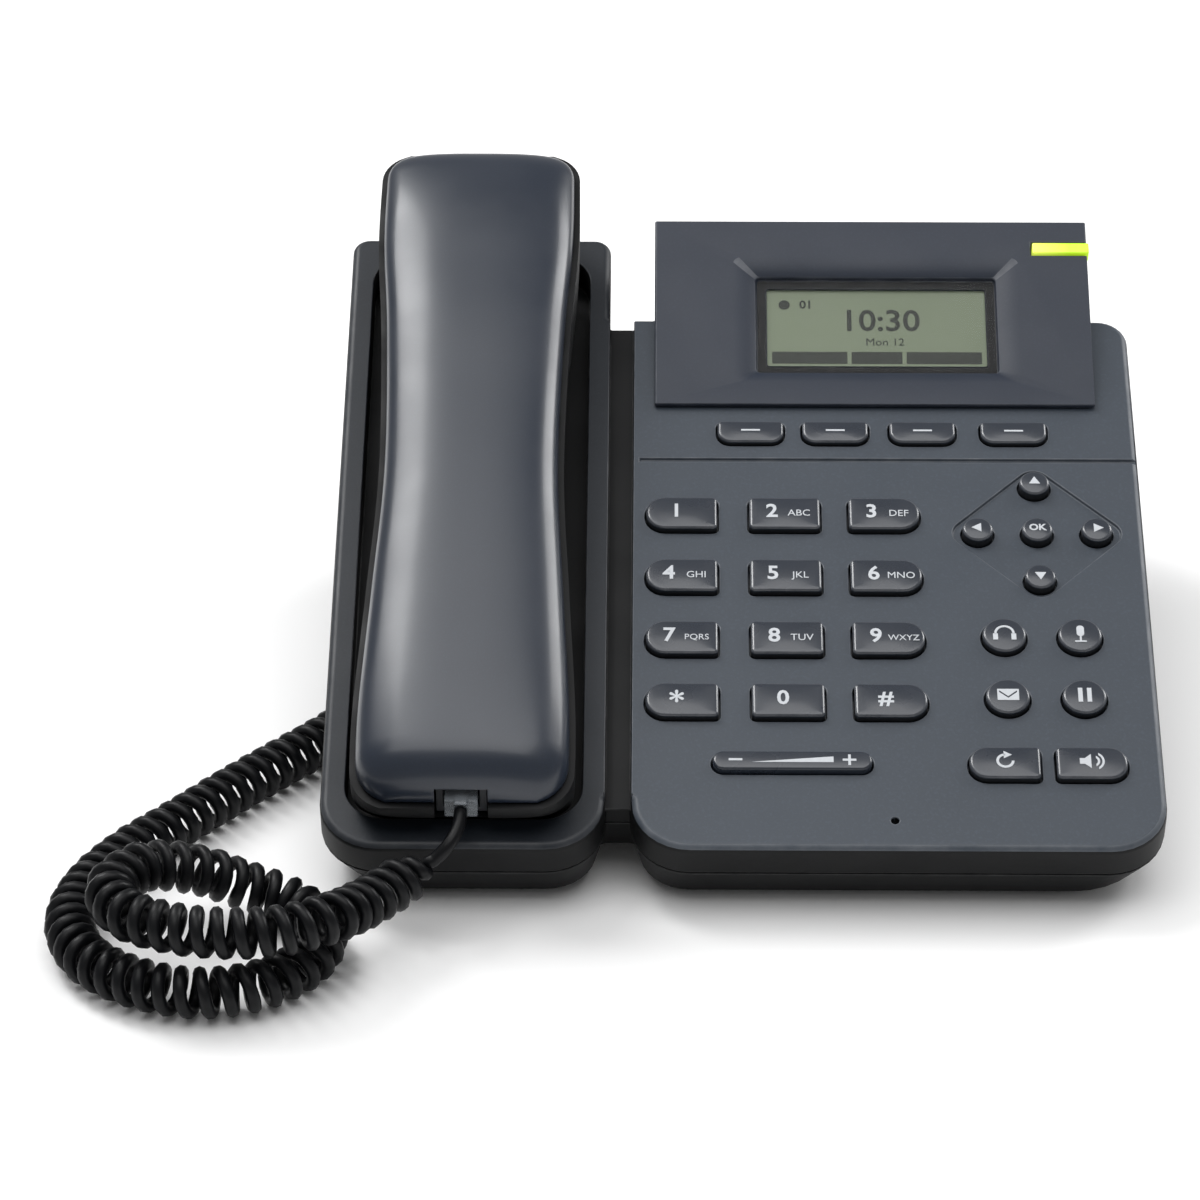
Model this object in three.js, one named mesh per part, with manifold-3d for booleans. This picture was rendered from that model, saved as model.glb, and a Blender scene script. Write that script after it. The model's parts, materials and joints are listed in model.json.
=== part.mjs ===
// Desk IP phone: a tilted two-lobed base with a cradle, keys, display block and clip-on stand,
// a handset lying in the cradle and a curly handset cord.
// Millimetres, +Z up, +X to the user's right, +Y away from the user.
import * as THREE from 'three';
import { mergeVertices } from 'three/addons/utils/BufferGeometryUtils.js';
import { LoftGeometry } from 'three/addons/geometries/LoftGeometry.js';
import Module from 'manifold-3d';

const wasm = await Module();
wasm.setup();

// ---- driving dimensions -------------------------------------------------------------------
const width = 185; // body, left to right
const length = 188; // body, along its face
const faceTilt = 20; // degrees, face above the desk
const frontDepth = 17; // body depth at its front edge, square to the face
const rearDepth = 35; // body depth at its rear edge
const footHeight = 1.5; // rubber under the front edge and under the stand
const topDepth = 8.5; // how far the top case's skirt reaches down
const wall = 2.2; // both cases
const gap = 0.3; // between pieces that touch
const partLine = 0.4; // seam between the two cases

const frontCorner = 13; // plan radii of the body
const rearCorner = 4;
const shoulderCorner = 7;
const innerCorner = 0.6;
const edgeRound = 1.8; // rounded rim of the top case
const hullDraft = 2; // how far the bottom case draws in on its way down
const hullRound = 7; // extra plan radius at its bottom corners

const grooveLeft = -30.2; // groove between the two lobes
const grooveWidth = 5.7;
const grooveDepth = 4;
const grooveWall = 1.6; // of the channel's sides, inside the case
const notchLength = 14; // where the groove cuts right through the front

const shoulder = 161; // rear edge of the right lobe, beside the display block

const blockFront = 131.5; // display block, along the face
const blockRear = 184;
const blockLeft = -19.6;
const blockRight = 83.5;
const blockRiseFront = 1.5; // height of its face above the main face
const blockRiseRear = 10;
const blockWall = 2;

const windowCentre = 33; // display window across the phone
const windowStart = 13.2; // from the block's front edge, along its face
const windowWidth = 52;
const windowLength = 22.4;
const windowLedge = 2.2; // shelf that the lens lies on
const bevelMargin = 8; // sloped frame round the lens
const lensThickness = 1.2;
const lensSink = 2.5;
const lcdThickness = 3.6;

const cradleCentre = -61.1; // across the phone
const cradleWidth = 52;
const cradleFront = 8;
const cradleRear = 182;
const cradleDepth = 8;
const cradleCorner = 9;
const padHeight = 1; // ribs that the handset rests on

const keyGap = 0.35; // round each key in its hole
const keyTravel = 1.2;
const keyProud = 2; // cap above the face
const flangeWidth = 1.1;
const flangeThickness = 1.2;

const matThickness = 1.3;
const boardThickness = 1.6;

const handsetFront = 4; // end faces of the handset, along the face
const handsetRear = 195;
const handsetShell = 1.8;
const rimStep = 1.3; // the face shell stands out round the back shell
const hookTravel = 3.5;

const cordDiameter = 12; // over the curls
const wireDiameter = 3;

// ---- derived places -----------------------------------------------------------------------
const tilt = THREE.MathUtils.degToRad(faceTilt);
const hullSlope = (rearDepth - frontDepth) / length;
const faceFrontZ = footHeight + frontDepth * Math.cos(tilt);
const frontReach = edgeRound * (Math.cos(tilt) + Math.sin(tilt) - 1);
const keelRear = length - hullDraft;
const rearReach = keelRear * Math.cos(tilt) + (frontDepth + hullSlope * keelRear) * Math.sin(tilt);
const faceFrontY = -(frontReach + rearReach) / 2; // the phone stands centred on its origin
const grooveRight = grooveLeft + grooveWidth;
const cradleFloor = -cradleDepth;
const headBottom = cradleFloor + padHeight + gap; // handset heads, above the ribs
const matTop = -wall - gap - flangeThickness - keyTravel - gap;
const boardTop = matTop - matThickness - gap;
const boardBottom = boardTop - boardThickness;
const blockTilt = Math.atan2(blockRiseRear - blockRiseFront, blockRear - blockFront);
const blockLength = Math.hypot(blockRiseRear - blockRiseFront, blockRear - blockFront);
const undersideTilt = tilt - Math.atan(hullSlope);

// ---- frames -------------------------------------------------------------------------------
// face frame: X across, Y along the face from its front edge, Z out of the face
const phone = new THREE.Group();
const face = new THREE.Group();
face.position.set(0, faceFrontY, faceFrontZ);
face.rotation.x = tilt;
const block = new THREE.Group(); // the display block's own sloped face
block.position.set(0, blockFront, blockRiseFront);
block.rotation.x = blockTilt;
const underside = new THREE.Group(); // on the bottom case's outer floor, Z into the body
underside.position.set(0, 0, -frontDepth);
underside.rotation.x = -Math.atan(hullSlope);
phone.add(face);
face.add(block, underside);
for (const frame of [phone, face, block, underside]) frame.updateMatrix();

const finishes = {
  slate: { color: 0x4b505a, roughness: 0.55, metalness: 0 },
  hull: { color: 0x17191c, roughness: 0.6, metalness: 0 },
  bezel: { color: 0x4f5462, roughness: 0.5, metalness: 0 },
  lens: { color: 0x9fb08a, roughness: 0.1, metalness: 0 },
  lcd: { color: 0x8f9b80, roughness: 0.4, metalness: 0 },
  lamp: { color: 0xd8ff60, roughness: 0.3, metalness: 0 },
  board: { color: 0x1f5a3a, roughness: 0.6, metalness: 0 },
  silicone: { color: 0x55585e, roughness: 0.8, metalness: 0 },
  jack: { color: 0x22242a, roughness: 0.5, metalness: 0 },
  metal: { color: 0xa8aab0, roughness: 0.35, metalness: 1 },
  rubber: { color: 0x101112, roughness: 0.9, metalness: 0 },
  key: { color: 0x3c414b, roughness: 0.45, metalness: 0 },
  satin: { color: 0x5d626e, roughness: 0.35, metalness: 0.1 },
  cord: { color: 0x15161a, roughness: 0.5, metalness: 0 },
  clear: { color: 0xb9c0c8, roughness: 0.15, metalness: 0 },
};

// ---- solids -------------------------------------------------------------------------------
function solid(geometry) {
  const clean = geometry.index ? geometry.toNonIndexed() : geometry.clone();
  for (const name of ['normal', 'uv']) clean.deleteAttribute(name);
  const merged = mergeVertices(clean, 1e-4);
  return new wasm.Manifold(new wasm.Mesh({
    numProp: 3,
    vertProperties: new Float32Array(merged.attributes.position.array),
    triVerts: new Uint32Array(merged.index.array),
  }));
}

function geometryOf(body) {
  const mesh = body.getMesh();
  const geometry = new THREE.BufferGeometry();
  geometry.setAttribute('position', new THREE.BufferAttribute(mesh.vertProperties, 3));
  geometry.setIndex(new THREE.BufferAttribute(mesh.triVerts, 1));
  geometry.computeVertexNormals();
  return geometry;
}

function piece(parent, name, finish, body) {
  const mesh = new THREE.Mesh(geometryOf(body), new THREE.MeshStandardMaterial(finishes[finish]));
  mesh.name = name;
  parent.add(mesh);
}

// a box from its two corners
function box(x0, x1, y0, y1, z0, z1) {
  const geometry = new THREE.BoxGeometry(x1 - x0, y1 - y0, z1 - z0);
  geometry.translate((x0 + x1) / 2, (y0 + y1) / 2, (z0 + z1) / 2);
  return solid(geometry);
}

// an upright round bar
function rod(x, y, radius, z0, z1, sides = 20) {
  const geometry = new THREE.CylinderGeometry(radius, radius, z1 - z0, sides);
  geometry.rotateX(Math.PI / 2);
  geometry.translate(x, y, (z0 + z1) / 2);
  return solid(geometry);
}

// corners are [x, y, radius], anticlockwise; every corner gives steps + 1 points
function roundedCorners(corners, steps = 4) {
  const points = [];
  corners.forEach(([x, y, radius], i) => {
    const corner = new THREE.Vector2(x, y);
    const before = new THREE.Vector2(...corners.at(i - 1)).sub(corner);
    const after = new THREE.Vector2(...corners[(i + 1) % corners.length]).sub(corner);
    const half = Math.acos(before.normalize().dot(after.normalize())) / 2;
    const reach = radius / Math.tan(half);
    const start = corner.clone().addScaledVector(before, reach);
    const end = corner.clone().addScaledVector(after, reach);
    const middle = before.clone().add(after).normalize();
    const centre = corner.clone().addScaledVector(middle, radius / Math.sin(half));
    const from = start.clone().sub(centre).angle();
    let sweep = end.clone().sub(centre).angle() - from;
    if (sweep > Math.PI) sweep -= 2 * Math.PI;
    if (sweep < -Math.PI) sweep += 2 * Math.PI;
    for (let k = 0; k <= steps; k++) {
      const turn = from + sweep * k / steps;
      points.push(new THREE.Vector2(centre.x + radius * Math.cos(turn), centre.y + radius * Math.sin(turn)));
    }
  });
  return points;
}

// the same corners with every edge moved inwards
function insetCorners(corners, inset) {
  return corners.map(([x, y, radius], i) => {
    const [px, py] = corners.at(i - 1);
    const [nx, ny] = corners[(i + 1) % corners.length];
    const into = new THREE.Vector2(x - px, y - py).normalize();
    const out = new THREE.Vector2(nx - x, ny - y).normalize();
    const turn = into.cross(out); // positive on a convex corner
    const moved = [x + inset * (into.x - out.x) / -turn, y + inset * (into.y - out.y) / -turn];
    return [...moved, Math.max(radius - Math.sign(turn) * inset, innerCorner)];
  });
}

function rectangle(x0, x1, y0, y1, radius) {
  const radii = Array.isArray(radius) ? radius : [radius, radius, radius, radius];
  return [[x0, y0, radii[0]], [x1, y0, radii[1]], [x1, y1, radii[2]], [x0, y1, radii[3]]];
}

// a plan outline pushed up from z0 to z1
function plate(points, z0, z1) {
  const shape = new THREE.Shape(points);
  const geometry = new THREE.ExtrudeGeometry(shape, { depth: z1 - z0, bevelEnabled: false });
  geometry.translate(0, 0, z0);
  return solid(geometry);
}

// a side outline of [y, z] points pushed across from x0 to x1
function sidePlate(points, x0, x1) {
  const shape = new THREE.Shape(points.map(([y, z]) => new THREE.Vector2(y, z)));
  const geometry = new THREE.ExtrudeGeometry(shape, { depth: x1 - x0, bevelEnabled: false });
  const turn = new THREE.Matrix4().makeBasis(
    new THREE.Vector3(0, 1, 0),
    new THREE.Vector3(0, 0, 1),
    new THREE.Vector3(1, 0, 0),
  );
  geometry.applyMatrix4(turn);
  geometry.translate(x0, 0, 0);
  return solid(geometry);
}

// a skin over closed sections with flat ends
function loft(sections) {
  return solid(new LoftGeometry(sections, { capStart: true, capEnd: true }));
}

function join(first, ...others) {
  return others.reduce((whole, other) => whole.add(other), first);
}

function cut(first, ...others) {
  return others.reduce((whole, other) => whole.subtract(other), first);
}

// a body made in one frame, seen from the frame that holds it
function inParent(frame, body) {
  const geometry = geometryOf(body);
  geometry.applyMatrix4(frame.matrix);
  return solid(geometry);
}

// ---- plan of the body ---------------------------------------------------------------------
function bodyCorners() {
  return [
    [-width / 2, 0, frontCorner],
    [grooveLeft, 0, frontCorner],
    [grooveLeft, notchLength, innerCorner],
    [grooveRight, notchLength, innerCorner],
    [grooveRight, 0, frontCorner],
    [width / 2, 0, frontCorner],
    [width / 2, shoulder, shoulderCorner],
    [blockRight, shoulder, innerCorner],
    [blockRight, blockRear, innerCorner],
    [blockLeft, blockRear, innerCorner],
    [blockLeft, shoulder, innerCorner],
    [grooveLeft, shoulder, innerCorner],
    [grooveLeft, length, rearCorner],
    [-width / 2, length, rearCorner],
  ];
}

function hullFloor(y) {
  return -frontDepth - hullSlope * y;
}

// bottom outline: drawn in, with the outside corners rounded further
function keelCorners(inset) {
  const outside = [0, 5, 12, 13]; // the body's own four corners
  return insetCorners(bodyCorners(), hullDraft + inset).map(([x, y, radius], i) => (
    [x, y, outside.includes(i) ? radius + hullRound : radius]
  ));
}

// ---- keys ---------------------------------------------------------------------------------
// each key: name, centre, size, corner radii, height above the face
const dialColumns = [-13.3, 10.3, 33.1];
const dialRows = [97, 78, 59.3, 41];
const dialNames = ['1', '2', '3', '4', '5', '6', '7', '8', '9', 'star', '0', 'pound'];
const dialSize = [16.2, 9.5];
const dialRound = 4.4;
const softColumns = [2.8, 22.5, 42.8, 64];
const softRow = 123;
const softSize = [15.3, 6.5];
const navCentre = [68, 92.3];
const navReachX = 13.6;
const navReachY = 14.4;
const navRadius = 3.5;
const roundColumns = [59, 76];
const roundRows = [60.3, 42.3];
const roundRadius = 4.9;
const wideCentres = [57.5, 76.6];
const wideRow = 23.3;
const wideSize = [15.6, 8.8];
const volumeCentre = [10.9, 23.7];
const volumeSize = [35, 5.2];
const roundSides = 14;

function capOutline(key, grow) {
  const [x, y] = key.centre;
  if (key.radius) {
    const outline = new THREE.EllipseCurve(x, y, key.radius + grow, key.radius + grow);
    return outline.getPoints(roundSides).slice(0, roundSides);
  }
  const [w, h] = key.size.map((side) => side / 2 + grow);
  const radii = key.corners.map((radius) => radius + grow);
  return roundedCorners(rectangle(x - w, x + w, y - h, y + h, radii), 2);
}

const keys = [];
dialNames.forEach((name, i) => {
  const column = i % 3;
  const ends = [[dialRound, 1, 1, dialRound], [1, 1, 1, 1], [1, dialRound, dialRound, 1]][column];
  const centre = [dialColumns[column], dialRows[Math.floor(i / 3)]];
  keys.push({ name: `key_${name}`, centre, size: dialSize, corners: ends, proud: keyProud });
});
softColumns.forEach((x, i) => {
  const corners = [3, 3, 1, 1];
  const proud = keyProud * 0.8;
  keys.push({ name: `soft_key_${i + 1}`, centre: [x, softRow], size: softSize, corners, proud });
});
const navKeys = [['up', 0, 1], ['left', -1, 0], ['ok', 0, 0], ['right', 1, 0], ['down', 0, -1]];
for (const [name, dx, dy] of navKeys) {
  const centre = [navCentre[0] + dx * navReachX, navCentre[1] + dy * navReachY];
  keys.push({ name: `nav_${name}`, centre, radius: navRadius, proud: keyProud });
}
['headset_key', 'mute_key', 'message_key', 'hold_key'].forEach((name, i) => {
  const centre = [roundColumns[i % 2], roundRows[Math.floor(i / 2)]];
  keys.push({ name, centre, radius: roundRadius, proud: keyProud });
});
['redial_key', 'speaker_key'].forEach((name, i) => {
  const corners = i === 0 ? [4, 1, 1, 4] : [1, 4, 4, 1];
  keys.push({ name, centre: [wideCentres[i], wideRow], size: wideSize, corners, proud: keyProud });
});

function keyBody(key) {
  const bottom = -wall - gap - flangeThickness;
  const cap = plate(capOutline(key, 0), bottom, key.proud);
  const flange = plate(capOutline(key, flangeWidth), bottom, -wall - gap);
  return cap.add(flange);
}

for (const key of keys) piece(face, key.name, 'key', keyBody(key));

const volume = { centre: volumeCentre, size: volumeSize, corners: [2.4, 2.4, 2.4, 2.4] };
const volumeLift = gap + 0.2; // its short flange rocks under the face
function volumeKey() {
  const [x, y] = volumeCentre;
  const bottom = -wall - volumeLift - flangeThickness;
  const pivot = 5;
  const reach = volumeSize[1] / 2 + flangeWidth;
  const cap = plate(capOutline(volume, 0), bottom, keyProud * 0.8);
  return cap.add(box(x - pivot, x + pivot, y - reach, y + reach, bottom, -wall - volumeLift));
}
piece(face, 'volume_key', 'key', volumeKey());

// ---- sockets and what stands through the cases ------------------------------------------------
const netLeft = 8; // pair of network sockets in one housing
const netWidth = 33;
const netDepth = 21;
const netHeight = 13.4;
const netSocket = [11.8, 7.6, 15]; // width, height, depth of each socket
const powerLeft = 56;
const powerWidth = 9.4;
const powerDepth = 14;
const powerHeight = 11;
const socketProud = 0.8;
const cordJackCentre = [-61.1, 108]; // pair of cord sockets in the underside
const cordJackSize = [25, 11.4, 13.5];
const cordSocket = [7.8, 6, 8.6]; // width, height, depth
const cordSocketPitch = 12;

function netJackBox(grow) {
  const top = boardBottom - gap;
  return box(
    netLeft - grow, netLeft + netWidth + grow, blockRear + socketProud - netDepth - grow,
    blockRear + socketProud + grow, top - netHeight - grow, top + grow,
  );
}

function powerJackBox(grow) {
  const top = boardBottom - gap;
  return box(
    powerLeft - grow, powerLeft + powerWidth + grow, blockRear + socketProud - powerDepth - grow,
    blockRear + socketProud + grow, top - powerHeight - grow, top + grow,
  );
}

function cordJackBox(grow) {
  const [x, y] = cordJackCentre;
  const [w, l, h] = cordJackSize;
  return box(
    x - w / 2 - grow, x + w / 2 + grow, y - l / 2 - grow, y + l / 2 + grow,
    -socketProud - grow, h + grow,
  );
}

function ethernetJack() {
  const [w, h, d] = netSocket;
  const middle = boardBottom - gap - netHeight / 2;
  const mouth = blockRear + socketProud;
  const sockets = [0.25, 0.75].map((share) => {
    const x = netLeft + netWidth * share;
    return box(x - w / 2, x + w / 2, mouth - d, mouth + 1, middle - h / 2, middle + h / 2);
  });
  return cut(netJackBox(0), ...sockets);
}
piece(face, 'ethernet_jack', 'metal', ethernetJack());

function powerJack() {
  const x = powerLeft + powerWidth / 2;
  const z = boardBottom - gap - powerHeight / 2;
  const mouth = blockRear + socketProud;
  const bore = (radius, depth, proud) => {
    const geometry = new THREE.CylinderGeometry(radius, radius, depth + proud, 18);
    geometry.translate(x, mouth - (depth - proud) / 2, z);
    return solid(geometry);
  };
  return cut(powerJackBox(0), bore(3.1, 10, 1)).add(bore(1, 11, -1));
}
piece(face, 'power_jack', 'jack', powerJack());

function cordJack() {
  const [x, y] = cordJackCentre;
  const [w, l, d] = cordSocket;
  const sockets = [-0.5, 0.5].map((side) => {
    const centre = x + side * cordSocketPitch;
    return box(centre - w / 2, centre + w / 2, y - l / 2, y + l / 2, -socketProud - 1, d);
  });
  return cut(cordJackBox(0), ...sockets);
}
piece(underside, 'handset_headset_jack', 'jack', cordJack());

// ---- display block ------------------------------------------------------------------------
const frameLeft = windowCentre - windowWidth / 2 - bevelMargin;
const frameRight = windowCentre + windowWidth / 2 + bevelMargin;
const frameStart = windowStart - bevelMargin * 0.85;
const frameEnd = windowStart + windowLength + bevelMargin * 0.85;
const ledgeBottom = -lensSink - lensThickness - 0.2;
const tubWall = 1.4;

function toBlock(y, z) {
  const c = Math.cos(blockTilt);
  const s = Math.sin(blockTilt);
  return [(y - blockFront) * c + (z - blockRiseFront) * s, -(y - blockFront) * s + (z - blockRiseFront) * c];
}

function windowOutline(grow, radius) {
  const w = windowWidth / 2 + grow;
  const corners = rectangle(
    windowCentre - w, windowCentre + w, windowStart - grow, windowStart + windowLength + grow, radius);
  return roundedCorners(corners, 2);
}

function displayTub(grow) {
  const edge = tubWall + grow;
  const corners = rectangle(
    frameLeft - edge, frameRight + edge, frameStart - edge, frameEnd + edge, 2 + grow);
  return plate(roundedCorners(corners, 3), ledgeBottom - grow - (grow ? 20 : 0), grow ? 20 : 0);
}

function level(points, z) {
  return points.map((point) => new THREE.Vector3(point.x, point.y, z));
}

function displayBezel() {
  const outer = sidePlate(
    [toBlock(blockFront, gap), toBlock(blockRear, gap), toBlock(blockRear, blockRiseRear), [0, 0]],
    blockLeft, blockRight,
  );
  const hollow = sidePlate(
    [toBlock(blockFront + blockWall, gap - 1), toBlock(blockRear - blockWall, gap - 1),
      [blockLength - blockWall, -blockWall], [blockWall, -blockWall]],
    blockLeft + blockWall, blockRight - blockWall,
  );
  const rim = roundedCorners(rectangle(frameLeft, frameRight, frameStart, frameEnd, 2), 2);
  const over = roundedCorners(rectangle(
    frameLeft - 1.5, frameRight + 1.5, frameStart - 0.9, frameEnd + 0.9, 2), 2);
  const ledge = windowOutline(windowLedge + gap, 1);
  const slopedFrame = loft([level(ledge, -lensSink), level(rim, 0), level(over, 0.5)]);
  const seat = plate(ledge, -lensSink - lensThickness, 0);
  const opening = plate(windowOutline(0, 0.6), ledgeBottom - 1, 0);
  return cut(join(cut(outer, hollow), displayTub(0)), slopedFrame, seat, opening, lampBar(gap));
}

// yellow-green light bar let into the block's right edge
const lampStart = 43.6;
const lampWidth = 3;
const lampLeft = 70.5;
const lampProud = 0.5;
const lampDeep = 3;
function lampBar(grow) {
  return box(
    lampLeft - grow, blockRight + lampProud + grow, lampStart - grow, lampStart + lampWidth + grow,
    -lampDeep - grow, lampProud + grow,
  );
}

piece(block, 'display_bezel', 'bezel', displayBezel());
piece(block, 'display_lens', 'lens', plate(
  windowOutline(windowLedge, 0.8), -lensSink - lensThickness + gap, -lensSink));
piece(block, 'lcd_module', 'lcd', box(
  windowCentre - windowWidth / 2 - 3, windowCentre + windowWidth / 2 + 3, windowStart - 2,
  windowStart + windowLength + 3, ledgeBottom - gap - lcdThickness, ledgeBottom - gap));
piece(block, 'indicator_light', 'lamp', lampBar(0));

// ---- top case -----------------------------------------------------------------------------
const slotPitch = 5;
const speakerCentre = [cradleCentre, 62];
const speakerRadius = 18;
const hookCentre = [cradleCentre, 166];
const hookSize = [11, 7];
const micHole = [windowCentre, 8];

function roundedBody(z0) {
  const rimSteps = 2;
  const rims = Array.from({ length: rimSteps + 1 }, (_, i) => {
    const turn = Math.PI / 2 * i / rimSteps;
    const outline = roundedCorners(insetCorners(bodyCorners(), edgeRound * (1 - Math.cos(turn))));
    return level(outline, edgeRound * (Math.sin(turn) - 1));
  });
  return loft([level(roundedCorners(bodyCorners()), z0), ...rims]);
}

function cradleOutline(grow) {
  const half = cradleWidth / 2 + grow;
  return roundedCorners(rectangle(
    cradleCentre - half, cradleCentre + half, cradleFront - grow, cradleRear + grow, cradleCorner + grow), 4);
}

function speakerSlots() {
  const [x, y] = speakerCentre;
  return [-2, -1, 0, 1, 2].map((row) => {
    const half = 12 - Math.abs(row) * 2;
    const middle = y + row * slotPitch;
    return box(x - half, x + half, middle - 1, middle + 1, cradleFloor - wall - 1, 0);
  });
}

function handsetPads() {
  return [cradleFront + 14, cradleRear - 20].flatMap((y) => [-1, 1].map((side) => {
    const x = cradleCentre + side * 13;
    return box(x - 1.5, x + 1.5, y - 6, y + 6, cradleFloor - wall / 2, cradleFloor + padHeight);
  }));
}

function topCase() {
  const inside = plate(roundedCorners(insetCorners(bodyCorners(), wall)), -topDepth - 1, -wall);
  const tub = plate(cradleOutline(wall), cradleFloor - wall, 1);
  const rib = box(grooveLeft - grooveWall, grooveRight + grooveWall, 0, length, -grooveDepth - grooveWall, 0);
  const channel = box(grooveLeft, grooveRight, -1, length + 1, -grooveDepth, 1);
  const outer = join(roundedBody(-topDepth), tub.intersect(plate(
    roundedCorners(insetCorners(bodyCorners(), wall / 2)), -length, 0)));
  const hollow = cut(inside, rib, tub);
  const keyHoles = [...keys, volume].map((key) => plate(capOutline(key, keyGap), -wall - 1, 1));
  const [hx, hy] = hookCentre;
  const [hw, hl] = hookSize.map((side) => side / 2 + gap);
  const [nx, ny] = navCentre;
  const navReach = navReachY + navRadius + 3;
  const diamond = [
    [nx, ny - navReach, 4], [nx + navReach, ny, 4], [nx, ny + navReach, 4], [nx - navReach, ny, 4],
  ];
  const panelLine = box(grooveRight + 1.5, width / 2 + 1, 114.4, 115.4, -0.7, 1);
  const body = cut(
    outer,
    hollow,
    channel,
    plate(cradleOutline(0), cradleFloor, 1),
    ...keyHoles,
    ...speakerSlots(),
    box(hx - hw, hx + hw, hy - hl, hy + hl, cradleFloor - wall - 1, 0),
    inParent(block, displayTub(keyGap)),
    plate(roundedCorners(diamond, 3), -0.7, 1),
    panelLine,
    rod(...micHole, 0.9, -wall - 1, 1, 10),
    netJackBox(gap),
    powerJackBox(gap),
  );
  return join(body, ...handsetPads());
}
piece(face, 'top_case', 'slate', topCase());

// ---- bottom case --------------------------------------------------------------------------
const hullTop = -topDepth - partLine;
const bossRadius = 3.2;
const bosses = [[-10, 22], [84, 22], [-10, 108], [84, 108], [-10, 172], [76, 172]];
const ventRows = 6;
const standSlots = [[-45, 150], [45, 150]]; // where the stand hooks in, on the underside frame
const standHook = [10, 3, 3]; // width, length, height
const switchCentre = hookCentre;
const switchSize = [12, 7, 6];

function hullSections(inset) {
  const high = roundedCorners(insetCorners(bodyCorners(), inset));
  const low = roundedCorners(keelCorners(inset));
  const floor = (point) => new THREE.Vector3(point.x, point.y, hullFloor(point.y) + inset);
  const top = hullTop + (inset ? 1 : 0);
  return [low.map(floor), level(high, top)];
}

function bottomCase() {
  const outer = loft(hullSections(0));
  const inner = loft(hullSections(wall));
  const posts = bosses.map(([x, y]) => rod(x, y, bossRadius, hullFloor(y) + wall / 2, boardBottom - gap, 12));
  const [sx, sy] = switchCentre;
  const [sw, sl, sh] = switchSize;
  const switchTop = hookBottom() - gap;
  const shelf = box(
    sx - sw / 2, sx + sw / 2, sy - sl / 2, sy + sl / 2, hullFloor(sy) + wall / 2, switchTop - sh - gap);
  const [px, py] = speakerCentre;
  const ring = cut(
    rod(px, py, speakerRadius - 1, hullFloor(py) + wall / 2, speakerBottom() - gap, 20),
    rod(px, py, speakerRadius - 3, hullFloor(py), speakerBottom() + 1, 20),
  );
  const vents = Array.from({ length: ventRows }, (_, i) => {
    const y = 40 + i * 6;
    return box(10, 50, y, y + 2, -1, wall + 1);
  });
  const slots = standSlots.map(([x, y]) => {
    const [w, l] = standHook;
    return box(x - w / 2 - gap, x + w / 2 + gap, y - l / 2 - gap, y + l / 2 + gap, -1, wall + 1);
  });
  const body = join(cut(outer, inner), ...posts, shelf, ring);
  return cut(body, netJackBox(gap), powerJackBox(gap), ...[...vents, ...slots, cordJackBox(gap)].map(
    (tool) => inParent(underside, tool)));
}

function hookBottom() {
  return cradleFloor - wall - hookTravel - gap - flangeThickness;
}

function speakerBottom() {
  return cradleFloor - wall - gap - 5;
}
piece(face, 'bottom_case', 'hull', bottomCase());

// ---- inside the base ----------------------------------------------------------------------
function mainBoard() {
  const corners = [
    [grooveRight + 5, 12, 1], [width / 2 - 6, 12, 1], [width / 2 - 6, shoulder - 8, 1],
    [blockRight - 5, shoulder - 8, 1], [blockRight - 5, blockRear - 5, 1], [blockLeft + 5, blockRear - 5, 1],
    [blockLeft + 5, shoulder - 8, 1], [grooveRight + 5, shoulder - 8, 1],
  ];
  return plate(roundedCorners(corners, 1), boardBottom, boardTop);
}
piece(face, 'main_board', 'board', mainBoard());
piece(face, 'keypad_mat', 'silicone', plate(roundedCorners(
  rectangle(grooveRight + 5, width / 2 - 7, 15, 128, 2), 2), matTop - matThickness, matTop));
piece(face, 'speakerphone_mic', 'metal', rod(...micHole, 3, -wall - gap - 2.2, -wall - gap, 14));
piece(face, 'loudspeaker', 'metal', rod(
  ...speakerCentre, speakerRadius, speakerBottom(), cradleFloor - wall - gap, 24));
piece(face, 'hook_switch', 'jack', (() => {
  const [x, y] = switchCentre;
  const [w, l, h] = switchSize;
  const top = hookBottom() - gap;
  return box(x - w / 2, x + w / 2, y - l / 2, y + l / 2, top - h, top);
})());

function hookPlunger() {
  const [x, y] = hookCentre;
  const [w, l] = hookSize.map((side) => side / 2);
  const top = headBottom - gap;
  const cap = plate(roundedCorners(rectangle(x - w, x + w, y - l, y + l, 2), 3), hookBottom(), top);
  const flange = box(
    x - w - 1, x + w + 1, y - l - 1, y + l + 1, hookBottom(), hookBottom() + flangeThickness);
  return cap.add(flange);
}
piece(face, 'hook_plunger', 'hull', hookPlunger());

// ---- feet and stand -----------------------------------------------------------------------
function underZ(y) {
  const frontY = faceFrontY + frontDepth * Math.sin(tilt);
  return footHeight + (y - frontY) * Math.tan(undersideTilt);
}

const footRadius = 7;
const footInset = 13; // from the front edge, along the desk
const footSpan = 68;
for (const [name, side] of [['front_foot_left', -1], ['front_foot_right', 1]]) {
  const x = side * footSpan;
  const y = faceFrontY + footInset + footRadius;
  const reach = footRadius + 1;
  const above = sidePlate(
    [[y - reach, underZ(y - reach) - gap], [y + reach, underZ(y + reach) - gap],
      [y + reach, 40], [y - reach, 40]],
    x - reach, x + reach,
  );
  piece(phone, name, 'rubber', cut(rod(x, y, footRadius, 0, 20, 18), above));
}

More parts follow.
